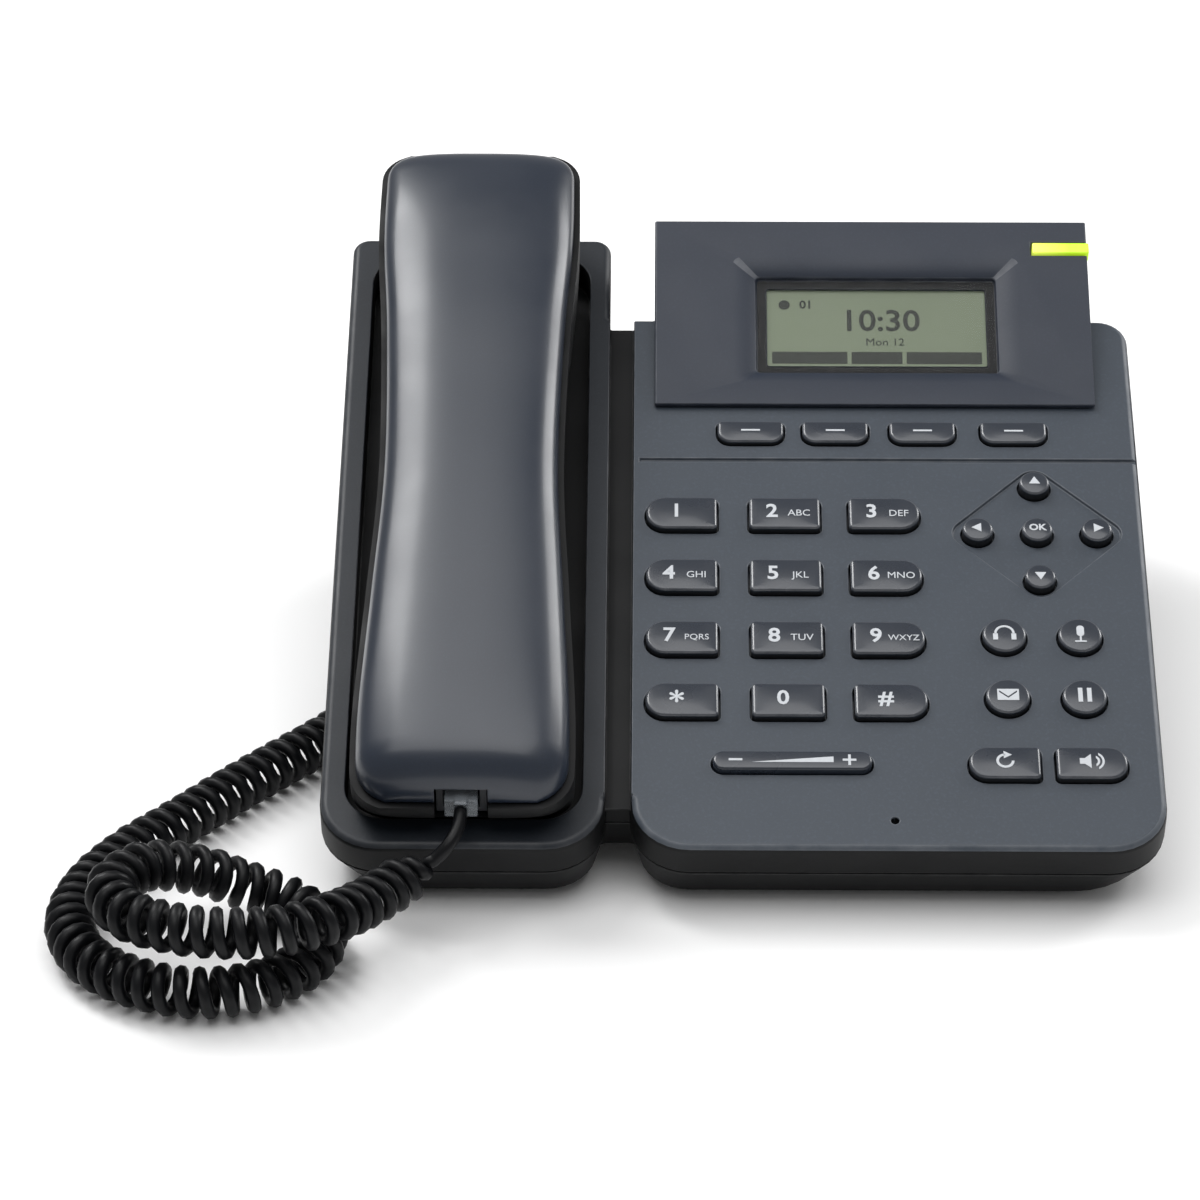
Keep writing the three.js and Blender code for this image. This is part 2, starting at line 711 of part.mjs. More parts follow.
const standHalf = 62; // half its width
const standFront = 34; // front end of its plate, along the desk
const standRear = 82; // rear end of its plate
const standBar = [58, 84]; // its bar on the desk, front and rear
const standWall = 3;
function stand() {
  const seat = gap;
  const drop = standWall / Math.cos(undersideTilt);
  const padTop = footHeight + gap;
  const plateTop = (y) => underZ(y) - seat;
  const plank = sidePlate([
    [standFront, plateTop(standFront) - drop], [standRear, plateTop(standRear) - drop],
    [standRear, plateTop(standRear)], [standFront, plateTop(standFront)],
  ], -standHalf, standHalf);
  const leg = sidePlate([
    [standBar[1] - standWall, padTop], [standBar[1], padTop],
    [standRear, plateTop(standRear)], [standRear - standWall, plateTop(standRear) - drop / 2],
  ], -standHalf, standHalf);
  const bar = sidePlate([
    [standBar[0], padTop], [standBar[1], padTop], [standBar[1], padTop + standWall],
    [standBar[0], padTop + standWall],
  ], -standHalf, standHalf);
  const cheek = (x0) => sidePlate([
    [standBar[0], padTop], [standBar[1], padTop], [standRear, plateTop(standRear) - drop / 2],
    [standFront, plateTop(standFront) - drop / 2],
  ], x0, x0 + standWall);
  const archway = box(-standHalf + 20, standHalf - 20, standBar[0] - 5, standBar[1] + 5, 12, 34);
  const hooks = standSlots.map(([x, y]) => {
    const [w, l, h] = standHook;
    const hook = inParent(underside, box(x - w / 2, x + w / 2, y - l / 2, y + l / 2, -gap - 1, h - 0.5));
    return inParent(face, hook);
  });
  return cut(join(plank, leg, bar, cheek(-standHalf), cheek(standHalf - standWall), ...hooks), archway);
}
piece(phone, 'stand', 'hull', stand());
for (const [name, side] of [['stand_foot_left', -1], ['stand_foot_right', 1]]) {
  const x = side * (standHalf - 12);
  const middle = (standBar[0] + standBar[1]) / 2;
  piece(phone, name, 'rubber', plate(roundedCorners(
    rectangle(x - 10, x + 10, middle - 6, middle + 6, 3), 3), 0, footHeight));
}

// ---- handset ------------------------------------------------------------------------------
// side profiles along the handset, as smooth curves through [y, z]
const backLine = new THREE.SplineCurve([
  [0, 19], [20, 22], [60, 24.5], [110, 27.5], [150, 30], [178, 30.5], [200, 26],
].map(([y, z]) => new THREE.Vector2(y, z)));
const seamLine = new THREE.SplineCurve([
  [0, 8], [30, 12], [80, 16], [120, 19], [160, 21.5], [200, 20.5],
].map(([y, z]) => new THREE.Vector2(y, z)));
const sideLine = new THREE.SplineCurve([
  [0, 24], [25, 24.5], [60, 22.7], [95, 21], [135, 21.9], [165, 23.6], [200, 23.4],
].map(([y, z]) => new THREE.Vector2(y, z)));
const gripBottom = 8;
const headLength = 36;
const rimClearance = 1.2; // the handset's front end above the cradle's rim
const headFront = cradleFront + 5; // where the mouth head's flat begins
const headRear = cradleRear - 4;

// height of a spline at a place along the handset
function heightAt(curve, y) {
  let low = 0;
  let high = 1;
  for (let i = 0; i < 30; i++) {
    const middle = (low + high) / 2;
    if (curve.getPoint(middle).x < y) low = middle;
    else high = middle;
  }
  return curve.getPoint(low).y;
}

function ease(t) {
  const s = Math.min(Math.max(t, 0), 1);
  return s * s * (3 - 2 * s);
}

// underside: two heads that drop into the cradle with the arched grip between them
function bottomAt(y) {
  const slope = 14;
  const rise = gripBottom - headBottom;
  const mouth = ease((y - headFront - headLength) / slope);
  const ear = ease((headRear - headLength - y) / slope);
  return headBottom + rise * Math.min(mouth, ear);
}

const handsetSteps = 20;
const sectionSides = 24;
const endRound = 9;
const thinnest = 0.6; // of the hollow inside the handset's ends
function handsetSection(y, inset) {
  const fromEnd = Math.min(y - handsetFront - inset, handsetRear - inset - y);
  const open = Math.sqrt(Math.max(1 - (1 - Math.min(fromEnd / endRound, 1)) ** 2, 0.04));
  const seam = heightAt(seamLine, y);
  const half = heightAt(sideLine, y) - inset - (1 - open) * 8;
  const up = Math.max((heightAt(backLine, y) - seam) * (0.25 + 0.75 * open) - inset, thinnest);
  const rearLift = (seam - 6 - headBottom) * ease((y - cradleRear + 7) / 12);
  const frontLift = (rimClearance - headBottom) * ease((headFront - y) / 4);
  const bottom = Math.max(bottomAt(y), headBottom + rearLift, headBottom + frontLift);
  const down = Math.max((seam - bottom) * (0.3 + 0.7 * open) - inset, thinnest);
  const points = [];
  for (let k = 0; k < sectionSides; k++) {
    const turn = 2 * Math.PI * (k + 0.5) / sectionSides;
    const above = Math.sin(turn) > 0;
    const power = 2 / (above ? 2.8 : 4.5);
    const x = half * Math.sign(Math.cos(turn)) * Math.abs(Math.cos(turn)) ** power;
    const z = (above ? up : -down) * Math.abs(Math.sin(turn)) ** power;
    points.push(new THREE.Vector3(cradleCentre - x, y, seam + z));
  }
  return points;
}

function handsetBody(inset) {
  const first = handsetFront + inset;
  const span = handsetRear - handsetFront - 2 * inset;
  const sections = Array.from({ length: handsetSteps + 1 }, (_, i) => {
    const share = (1 - Math.cos(Math.PI * i / handsetSteps)) / 2;
    const even = i / handsetSteps;
    return handsetSection(first + span * (share * 0.45 + even * 0.55), inset);
  });
  return loft(sections);
}

// everything above the seam between the two shells
function aboveSeam(lift) {
  const line = Array.from({ length: 15 }, (_, i) => {
    const y = -10 + 220 * i / 14;
    return [y, heightAt(seamLine, Math.min(Math.max(y, 1), 199)) + lift];
  });
  return sidePlate([...line, [210, 80], [-10, 80]], cradleCentre - 40, cradleCentre + 40);
}

const socketHeight = 8; // middle of the cord socket, above the face
const socketSize = [11, 13, 9]; // width, length, height
const socketHole = [7.8, 9, 6]; // width, depth, height
const socketFront = handsetFront + 3.2;

function handsetSocketBox(grow) {
  const [w, l, h] = socketSize;
  return box(
    cradleCentre - w / 2 - grow, cradleCentre + w / 2 + grow, socketFront - grow - (grow ? 12 : 0),
    socketFront + l + grow, socketHeight - h / 2 - grow, socketHeight + h / 2 + grow,
  );
}

function handsetShells() {
  const seamGap = gap / 2;
  const innerSkin = handsetBody(rimStep + handsetShell);
  const outerBack = handsetBody(rimStep).intersect(aboveSeam(seamGap));
  const outerFace = handsetBody(0).subtract(aboveSeam(-seamGap));
  const hollowFace = handsetBody(handsetShell).subtract(aboveSeam(seamGap));
  const notch = handsetSocketBox(gap);
  piece(face, 'handset_back_shell', 'satin', cut(outerBack, innerSkin, notch));
  const earHoles = [-1, 0, 1].flatMap((row) => [-1, 0, 1].map((column) => (
    rod(cradleCentre + column * 4, headRear - headLength / 2 + row * 4, 0.9, headBottom - 1, headBottom + 3, 8))));
  const mouthHole = rod(cradleCentre, headFront + 22, 1, headBottom - 1, headBottom + 3, 8);
  const faceShell = cut(outerFace, hollowFace, innerSkin, notch, ...earHoles, mouthHole);
  piece(face, 'handset_face_shell', 'hull', faceShell);
}
handsetShells();

const headFloor = headBottom + handsetShell + gap;
piece(face, 'earpiece_receiver', 'metal', rod(
  cradleCentre, headRear - headLength / 2, 10, headFloor, headFloor + 5.5, 20));
piece(face, 'handset_mic', 'metal', rod(cradleCentre, headFront + 22, 4.8, headFloor, headFloor + 4.5, 14));
piece(face, 'handset_weight', 'metal', box(
  cradleCentre - 6, cradleCentre + 6, 70, 120, gripBottom + handsetShell + gap + 0.2,
  gripBottom + handsetShell + gap + 4.2));
piece(face, 'handset_socket', 'jack', (() => {
  const [w, d, h] = socketHole;
  return cut(handsetSocketBox(0), box(
    cradleCentre - w / 2, cradleCentre + w / 2, socketFront - 1, socketFront + d,
    socketHeight - h / 2, socketHeight + h / 2,
  ));
})());

// ---- cord ---------------------------------------------------------------------------------
const plugSize = [7.2, 11, 5.4]; // width, length, height
const plugInside = 8;
const routeFront = -93.6; // the phone's front edge where the cord's route was laid out
const cordShift = faceFrontY - routeFront; // the route keeps to the phone's front edge

// a plug along +Y with its nose inside the socket and a short collar round the lead
function plug(x, y, z) {
  const [w, l, h] = plugSize;
  const nose = y + plugInside;
  const body = box(x - w / 2, x + w / 2, nose - l, nose, z - h / 2, z + h / 2);
  const latch = box(x - 1.4, x + 1.4, nose - l - 1, nose - 6, z + h / 2 - 0.2, z + h / 2 + 0.3);
  return body.add(latch);
}
piece(face, 'handset_plug', 'clear', plug(cradleCentre, socketFront, socketHeight));

const basePlugFrame = new THREE.Group(); // nose of the base plug points up into its socket
basePlugFrame.position.set(cordJackCentre[0] - cordSocketPitch / 2, cordJackCentre[1], -socketProud);
basePlugFrame.rotation.x = Math.PI / 2;
underside.add(basePlugFrame);
basePlugFrame.updateMatrix();
piece(basePlugFrame, 'base_plug', 'clear', plug(0, 0, 0));

// a closed tube of even section along hand-chosen points
function tube(points, diameter, sides, steps) {
  const places = points.map(([x, y, z]) => new THREE.Vector3(x, y + cordShift, z));
  const path = new THREE.CatmullRomCurve3(places, false, 'centripetal');
  const round = new THREE.EllipseCurve(0, 0, diameter / 2, diameter / 2).getPoints(sides).slice(0, sides);
  return solid(new THREE.ExtrudeGeometry(new THREE.Shape(round), { steps, extrudePath: path }));
}

const curlPoints = [
  [-78, -7, 6.2], [-88, -19, 6.2], [-97, -30.5, 6.2], [-106, -41, 6.2], [-115, -52, 6.2], [-125, -65, 6.2],
  [-136, -79, 6.2], [-143, -93, 6.2], [-145, -107.5, 6.2], [-140, -121, 6.2], [-128, -130.5, 6.2],
  [-114, -134, 6.2], [-101, -130, 6.2], [-92, -120, 6.2], [-91, -108, 6.2], [-98, -99, 6.6],
  [-108, -97.5, 10], [-118, -100, 15.5], [-129, -104.5, 19], [-135, -114, 19.2], [-131, -123.5, 19.2],
  [-121, -129, 19.2], [-110, -131, 19.2], [-98, -130, 19.2], [-88, -124.5, 18.8], [-81, -115, 16.5],
  [-74, -106.5, 16.5], [-67.5, -102.2, 18.8],
];
const leadPoints = [[-66.8, -102, 19.4], [-63.6, -100.6, 22.3], [-61.6, -96.8, 24.6], [-61.1, -92.7, 26.3]];
const baseLeadPoints = [
  [-67.1, 17.8, 24.6], [-67.1, 19.3, 18.8], [-67.3, 18.3, 12.6], [-69, 13, 8.2],
  [-73, 4, 6.3], [-77.6, -6.4, 6.2],
];

piece(phone, 'curly_cord', 'cord', tube(curlPoints, cordDiameter, 10, 80));
piece(phone, 'handset_lead', 'cord', tube(leadPoints, wireDiameter, 8, 4));
piece(phone, 'base_lead', 'cord', tube(baseLeadPoints, wireDiameter, 8, 14));

export default phone;
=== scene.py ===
# Desk IP phone: the looks of every piece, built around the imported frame
import json
import math

import bmesh
import bpy
from mathutils import Matrix, Vector
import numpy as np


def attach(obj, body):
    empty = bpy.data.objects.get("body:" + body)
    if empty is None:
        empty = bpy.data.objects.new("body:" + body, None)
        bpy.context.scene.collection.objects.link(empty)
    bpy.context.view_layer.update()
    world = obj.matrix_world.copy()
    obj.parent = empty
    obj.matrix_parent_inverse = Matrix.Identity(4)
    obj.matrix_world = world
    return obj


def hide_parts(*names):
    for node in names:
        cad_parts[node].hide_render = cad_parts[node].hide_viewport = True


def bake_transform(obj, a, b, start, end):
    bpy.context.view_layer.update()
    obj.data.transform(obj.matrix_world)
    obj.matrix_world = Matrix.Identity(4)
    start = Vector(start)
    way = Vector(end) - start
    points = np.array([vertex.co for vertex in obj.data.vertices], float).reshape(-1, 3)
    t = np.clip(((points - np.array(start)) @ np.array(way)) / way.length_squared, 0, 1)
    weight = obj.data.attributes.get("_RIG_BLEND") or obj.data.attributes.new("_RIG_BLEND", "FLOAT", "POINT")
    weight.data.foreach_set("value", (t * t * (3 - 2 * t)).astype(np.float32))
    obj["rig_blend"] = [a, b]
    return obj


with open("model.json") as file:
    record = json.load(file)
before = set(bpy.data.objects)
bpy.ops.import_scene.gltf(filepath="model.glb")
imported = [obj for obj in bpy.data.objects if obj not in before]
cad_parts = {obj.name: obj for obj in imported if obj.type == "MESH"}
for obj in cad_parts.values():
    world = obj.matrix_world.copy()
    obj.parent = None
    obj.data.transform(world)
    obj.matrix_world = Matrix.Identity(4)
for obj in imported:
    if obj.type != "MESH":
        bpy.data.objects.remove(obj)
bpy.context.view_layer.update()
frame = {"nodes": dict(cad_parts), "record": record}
cadNodes = frame["nodes"]
scene = bpy.context.scene
mm = 0.001


# camera and frames
shot = {  # degrees and metres
    "elevation": 28.6755, "azimuth": 0.6673, "roll": 0.1005, "distance": 1.106055,
    "lens": 144.78, "target": (-0.031935, -0.013598, 0.034888),
}


def makeCamera():
    elevation, azimuth = math.radians(shot["elevation"]), math.radians(shot["azimuth"])
    back = Vector((
        math.sin(azimuth) * math.cos(elevation), -math.cos(azimuth) * math.cos(elevation),
        math.sin(elevation)))
    data = bpy.data.cameras.new("phoneCamera")
    data.lens, data.sensor_width = shot["lens"], 36
    camera = bpy.data.objects.new("phoneCamera", data)
    scene.collection.objects.link(camera)
    aim = (-back).to_track_quat("-Z", "Y").to_matrix().to_4x4()
    turn = aim @ Matrix.Rotation(-math.radians(shot["roll"]), 4, "Z")
    camera.matrix_world = Matrix.Translation(Vector(shot["target"]) + back * shot["distance"]) @ turn
    scene.camera = camera


makeCamera()
print("camera ready")

base = {  # millimetres, as the case was designed
    "width": 185, "length": 188, "tilt": 20, "frontDepth": 17, "rearDepth": 35, "footHeight": 1.5,
    "skirt": 8.5, "wall": 2.2, "gap": 0.3, "partLine": 0.4, "frontCorner": 13, "rearCorner": 4,
    "shoulderCorner": 7, "innerCorner": 0.6, "edgeRound": 1.8, "hullDraft": 2, "hullRound": 7,
    "grooveLeft": -30.2, "grooveWidth": 5.7, "grooveDepth": 4, "grooveWall": 1.6, "notch": 14,
    "shoulder": 161,
}
display = {
    "front": 131.5, "rear": 184, "left": -19.6, "right": 83.5, "riseFront": 1.5, "riseRear": 10, "wall": 2,
    "windowCentre": 33, "windowStart": 13.2, "windowWidth": 52, "windowLength": 22.4, "ledge": 2.2,
    "slope": 8, "lensSink": 2.5, "lensThickness": 1.2, "lampLeft": 70.5, "lampStart": 43.6, "lampWidth": 3,
}
cradle = {
    "centre": -61.1, "width": 52, "front": 8, "rear": 182, "depth": 8, "corner": 9,
    "padHeight": 1, "hookY": 166, "speakerY": 62,
}
grooveRight = base["grooveLeft"] + base["grooveWidth"]
cradleFloor = -cradle["depth"]
hullSlope = (base["rearDepth"] - base["frontDepth"]) / base["length"]


def makeFrames():
    tilt = math.radians(base["tilt"])
    frontReach = base["edgeRound"] * (math.cos(tilt) + math.sin(tilt) - 1)
    keelRear = base["length"] - base["hullDraft"]
    rearReach = keelRear * math.cos(tilt) + (base["frontDepth"] + hullSlope * keelRear) * math.sin(tilt)
    start = Vector((0, -(frontReach + rearReach) / 2,
                    base["footHeight"] + base["frontDepth"] * math.cos(tilt)))
    desk = Matrix.Scale(mm, 4)
    face = desk @ Matrix.Translation(start) @ Matrix.Rotation(tilt, 4, "X")
    rise = math.atan2(display["riseRear"] - display["riseFront"], display["rear"] - display["front"])
    block = face @ Matrix.Translation((0, display["front"], display["riseFront"])) @ Matrix.Rotation(rise,
                                                                                                     4, "X")
    under = face @ Matrix.Translation((0, 0, -base["frontDepth"])) @ Matrix.Rotation(-math.atan(hullSlope),
                                                                                     4, "X")
    return desk, face, block, under


deskFrame, faceFrame, blockFrame, underFrame = makeFrames()


# finishes
def linear(hexColour):
    channels = [int(hexColour[i:i + 2], 16) / 255 for i in (0, 2, 4)]
    return [c / 12.92 if c <= 0.04045 else ((c + 0.055) / 1.055) ** 2.4 for c in channels]


def shaded(colour, amount):
    return [min(c * amount, 1) for c in colour] + [1]


class Nodes:  # a material's nodes, added and joined by name
    def __init__(self, name):
        self.material = bpy.data.materials.new(name)
        self.material.use_nodes = True
        self.tree = self.material.node_tree
        self.shader = self.tree.nodes["Principled BSDF"]
        self.place = self.add("TexCoord").outputs["Object"]

    def add(self, kind, **settings):
        node = self.tree.nodes.new("ShaderNode" + kind)
        for key, value in settings.items():
            setattr(node, key, value)
        return node

    def join(self, source, target):
        self.tree.links.new(source, target)

    def noise(self, scale, detail=2, stretch=None):
        texture = self.add("TexNoise")
        texture.inputs["Scale"].default_value = scale
        texture.inputs["Detail"].default_value = detail
        place = self.place
        if stretch:
            mapping = self.add("Mapping")
            mapping.inputs["Scale"].default_value = stretch
            self.join(place, mapping.inputs["Vector"])
            place = mapping.outputs["Vector"]
        self.join(place, texture.inputs["Vector"])
        return texture.outputs["Fac"]

    def between(self, factor, low, high, fromLow=0.3, fromHigh=0.7):
        span = self.add("MapRange")
        for key, value in (("From Min", fromLow), ("From Max", fromHigh), ("To Min", low), ("To Max", high)):
            span.inputs[key].default_value = value
        self.join(factor, span.inputs["Value"])
        return span.outputs["Result"]

    def blend(self, factor, first, second):
        mix = self.add("Mix", data_type="RGBA")
        self.join(factor, mix.inputs["Factor"])
        for socket, value in ((mix.inputs["A"], first), (mix.inputs["B"], second)):
            if isinstance(value, (list, tuple)):
                socket.default_value = value
            else:
                self.join(value, socket)
        return mix.outputs["Result"]

    def multiply(self, first, second):
        product = self.add("Math", operation="MULTIPLY")
        self.join(first, product.inputs[0])
        if isinstance(second, (int, float)):
            product.inputs[1].default_value = second
        else:
            self.join(second, product.inputs[1])
        return product.outputs["Value"]

    def bump(self, height, strength, distance, under=None):
        node = self.add("Bump")
        node.inputs["Strength"].default_value = strength
        node.inputs["Distance"].default_value = distance
        self.join(height, node.inputs["Height"])
        if under is not None:
            self.join(under, node.inputs["Normal"])
        return node.outputs["Normal"]

    def put(self, **values):
        for key, value in values.items():
            socket = self.shader.inputs[key.replace("_", " ")]
            if isinstance(value, (int, float, list, tuple)):
                socket.default_value = value
            else:
                self.join(value, socket)


def mouldedPlastic(name, colour, roughness, grain=0.25, grainSize=0.5, patch=0.06, wear=0.35, coat=0.0,
                   specular=0.5):
    # grain: bump strength; grainSize: millimetres; patch: colour drift; the edge amount: how far marked edges
    # are lightened, partly real edge wear and partly painted highlight
    n = Nodes(name)
    tone = linear(colour)
    drift = n.blend(n.noise(38, 3), shaded(tone, 1 - patch), shaded(tone, 1 + patch))
    fleck = n.blend(
        n.between(n.noise(1000 / grainSize * 0.8, 1), 0, 1, 0.52, 0.72), drift, shaded(tone, 1 + patch * 3))
    # marked edges are lightened: partly real edge wear, partly painted highlight
    worn = n.add("Attribute", attribute_name="worn").outputs["Fac"]
    wearAndSheenShare = n.multiply(n.multiply(worn, n.between(n.noise(210, 3), 0.25, 1)), wear)
    n.put(
        Base_Color=n.blend(wearAndSheenShare, fleck, shaded([c * 0.6 + 0.05 for c in tone], 1.9)),
        Roughness=n.between(n.noise(55, 4), roughness - 0.05, roughness + 0.06),
        Normal=n.bump(n.noise(1000 / grainSize, 2), grain, 0.00006),
        Coat_Weight=coat, Coat_Roughness=0.18, Specular_IOR_Level=specular,
    )
    return n.material


def metal(name, colour, roughness, brush=(1, 1, 1)):
    n = Nodes(name)
    tone = linear(colour)
    streak = n.noise(900, 3, brush)
    n.put(
        Base_Color=n.blend(n.noise(70, 3), shaded(tone, 0.86), shaded(tone, 1.08)), Metallic=1.0,
        Roughness=n.between(streak, roughness - 0.07, roughness + 0.1), Normal=n.bump(streak, 0.12, 0.00003),
    )
    return n.material


def clearPlastic(name, colour, alpha, roughness):
    n = Nodes(name)
    tone = linear(colour)
    n.put(
        Base_Color=n.blend(n.noise(45, 2), shaded(tone, 0.92), shaded(tone, 1.0)),
        Roughness=n.between(n.noise(300, 3), roughness, roughness + 0.08),
        Alpha=alpha, Specular_IOR_Level=0.6,
    )
    return n.material


def printedInk(name, colour):
    n = Nodes(name)
    tone = linear(colour)
    n.put(
        Base_Color=n.blend(n.noise(900, 3), shaded(tone, 0.84), shaded(tone, 1.0)),
        Roughness=n.between(n.noise(500, 2), 0.45, 0.6), Normal=n.bump(n.noise(3000, 2), 0.15, 0.00003),
    )
    return n.material


def lcdGlass():
    n = Nodes("lcdGlass")
    tone = linear("6f7b62")
    cells = n.add("TexBrick", offset=0.0)  # the fine dot grid of the panel
    for key, value in (("Scale", 1700), ("Mortar Size", 0.03), ("Brick Width", 1.0), ("Row Height", 1.0)):
        cells.inputs[key].default_value = value
    for key, amount in (("Color1", 1.0), ("Color2", 1.02), ("Mortar", 0.93)):
        cells.inputs[key].default_value = shaded(tone, amount)
    n.join(n.place, cells.inputs["Vector"])
    glow = n.blend(n.noise(28, 2), shaded(tone, 0.86), shaded(tone, 1.06))
    n.put(
        Base_Color=n.blend(n.between(n.noise(16, 1), 0.3, 0.7), cells.outputs["Color"], glow),
        Roughness=n.between(n.noise(120, 2), 0.3, 0.4), Emission_Color=glow, Emission_Strength=0.03,
    )
    return n.material


def lampPlastic():
    n = Nodes("lampPlastic")
    tone, hot = linear("b9e62a"), linear("eaff62")
    split = n.add("SeparateXYZ")
    n.join(n.place, split.inputs["Vector"])
    nearLeft = n.between(split.outputs["X"], 1, 0, display["lampLeft"] * mm, (display["lampLeft"] + 9) * mm)
    glow = n.blend(nearLeft, shaded(tone, 1), shaded(hot, 1))
    n.put(
        Base_Color=glow, Emission_Color=glow, Emission_Strength=0.55,
        Roughness=n.between(n.noise(200, 2), 0.2, 0.32), Normal=n.bump(n.noise(700, 2), 0.1, 0.00003),
    )
    return n.material


def circuitBoard():
    n = Nodes("circuitBoard")
    tone = linear("1d5a39")
    tracks = n.add("TexBrick", offset=0.37)
    for key, value in (("Scale", 210), ("Mortar Size", 0.05), ("Brick Width", 1.7), ("Row Height", 0.4)):
        tracks.inputs[key].default_value = value
    for key, amount in (("Color1", 1.0), ("Color2", 0.9), ("Mortar", 1.7)):
        tracks.inputs[key].default_value = shaded(tone, amount)
    n.join(n.place, tracks.inputs["Vector"])
    n.put(
        Base_Color=n.blend(n.noise(60, 3), tracks.outputs["Color"], shaded(tone, 0.9)),
        Roughness=n.between(n.noise(400, 2), 0.35, 0.55), Normal=n.bump(tracks.outputs["Fac"], 0.2, 0.00005),
    )
    return n.material


finishes = {
    "slate_plastic": mouldedPlastic("slatePlastic", "333b45", 0.46, grain=0.35, grainSize=0.6, patch=0.06,
                                    wear=0.7),
    "black_plastic": mouldedPlastic("blackPlastic", "07080a", 0.52, grain=0.28, grainSize=0.6, patch=0.08,
                                    specular=0.25),
    "bezel_plastic": mouldedPlastic("bezelPlastic", "222936", 0.46, grain=0.2, grainSize=0.45, patch=0.05,
                                    specular=0.38),
    "key_plastic": mouldedPlastic("keyPlastic", "252b35", 0.28, grain=0.08, grainSize=0.4, wear=0.7,
                                  coat=0.45),
    "satin_plastic": mouldedPlastic("satinPlastic", "1c2431", 0.34, grain=0.05, grainSize=0.35, coat=0.3),
    "clear_window": clearPlastic("clearWindow", "1c2126", 0.05, 0.04),
    "lcd": lcdGlass(),
    "lamp": lampPlastic(),
    "board": circuitBoard(),
    "silicone": mouldedPlastic("siliconeMat", "63666c", 0.68, grain=0.2, grainSize=0.8, wear=0.1),
    "speaker_metal": metal("speakerMetal", "9a9ca1", 0.38, (1, 14, 1)),
    "weight_iron": metal("weightIron", "6b6d72", 0.55),
    "steel": metal("shieldSteel", "b9bcc2", 0.3, (1, 1, 16)),
    "jack_plastic": mouldedPlastic("jackPlastic", "222429", 0.42, grain=0.15, grainSize=0.5, wear=0.2),
    "plug_plastic": clearPlastic("plugPlastic", "8f959b", 0.5, 0.15),
    "foot_rubber": mouldedPlastic("footRubber", "141516", 0.82, grain=0.5, grainSize=0.9, wear=0.15,
                                  specular=0.3),
    "cord": mouldedPlastic("cordJacket", "08090c", 0.42, grain=0.1, grainSize=0.6, wear=0.0, specular=0.22),
}
# a darker plastic for the keys' lower side walls: painted shade under the caps
keyWallShade = mouldedPlastic("keySidePlastic", "121418", 0.45, grain=0.08, grainSize=0.4, wear=0.2)
lobeFinish = mouldedPlastic("lobePlastic", "191e25", 0.44, grain=0.3, grainSize=0.6, patch=0.07,
                            specular=0.36)
whiteInk = printedInk("whiteInk", "cdd1d6")
lcdInk = printedInk("lcdInk", "1a2217")
goldContact = metal("goldContact", "d9b25c", 0.24)
screwSteel = metal("screwSteel", "8f9196", 0.35, (12, 1, 1))
labelPaper = printedInk("labelPaper", "b6bac0")
print("finishes ready")


# modelling helpers
def roundedOutline(corners, steps=8):  # corners are (x, y, radius), anticlockwise
    points = []
    for i, (x, y, radius) in enumerate(corners):
        corner = Vector((x, y))
        before = (Vector(corners[i - 1][:2]) - corner).normalized()
        after = (Vector(corners[(i + 1) % len(corners)][:2]) - corner).normalized()
        half = math.acos(max(-1.0, min(1.0, before.dot(after)))) / 2
        start = corner + before * (radius / math.tan(half))
        end = corner + after * (radius / math.tan(half))
        centre = corner + (before + after).normalized() * (radius / math.sin(half))
        first = math.atan2(start.y - centre.y, start.x - centre.x)
        last = math.atan2(end.y - centre.y, end.x - centre.x)
        sweep = (last - first + math.pi) % (2 * math.pi) - math.pi
        for k in range(steps + 1):
            turn = first + sweep * k / steps
            points.append((centre.x + radius * math.cos(turn), centre.y + radius * math.sin(turn)))
    return points


def insetCorners(corners, inset, least=0.6):  # the same corners with every edge moved inwards
    moved = []
    for i, (x, y, radius) in enumerate(corners):
        into = (Vector((x, y)) - Vector(corners[i - 1][:2])).normalized()
        out = (Vector(corners[(i + 1) % len(corners)][:2]) - Vector((x, y))).normalized()
        turn = into.x * out.y - into.y * out.x
        moved.append((
            x - inset * (into.x - out.x) / turn, y - inset * (into.y - out.y) / turn,
            max(radius - math.copysign(inset, turn), least)))
    return moved


def rectangle(x0, x1, y0, y1, radius):
    radii = radius if isinstance(radius, (list, tuple)) else [radius] * 4
    return [(x0, y0, radii[0]), (x1, y0, radii[1]), (x1, y1, radii[2]), (x0, y1, radii[3])]


def circleOutline(x, y, radius, sides=32):
    turns = [2 * math.pi * i / sides for i in range(sides)]
    return [(x + radius * math.cos(t), y + radius * math.sin(t)) for t in turns]


def level(outline, z):
    return [(x, y, z) for x, y in outline]


def stack(sections):  # a closed solid pushed up through sections with the same number of points
    bm = bmesh.new()
    face = bm.faces.new([bm.verts.new(p) for p in sections[0]])
    for i, section in enumerate(sections[1:]):
        below = face
        grown = bmesh.ops.extrude_face_region(bm, geom=[below])["geom"]
        face = next(g for g in grown if isinstance(g, bmesh.types.BMFace))
        for vert, point in zip(face.verts, section):
            vert.co = point
        if i:
            bmesh.ops.delete(bm, geom=[below], context="FACES_ONLY")
    bmesh.ops.recalc_face_normals(bm, faces=bm.faces)
    return bm


def prism(outline, z0, z1):
    return stack([level(outline, z0), level(outline, z1)])


def block(x0, x1, y0, y1, z0, z1):
    bm = bmesh.new()
    bmesh.ops.create_cube(bm, size=1)
    bmesh.ops.scale(bm, vec=(x1 - x0, y1 - y0, z1 - z0), verts=bm.verts)
    bmesh.ops.translate(bm, vec=((x0 + x1) / 2, (y0 + y1) / 2, (z0 + z1) / 2), verts=bm.verts)
    return bm


def sideBlock(points, x0, x1):  # a side outline of (y, z) pushed across
    return stack([[(x0, y, z) for y, z in points], [(x1, y, z) for y, z in points]])


def placed(bm, matrix):
    bmesh.ops.transform(bm, matrix=matrix, verts=bm.verts)
    return bm


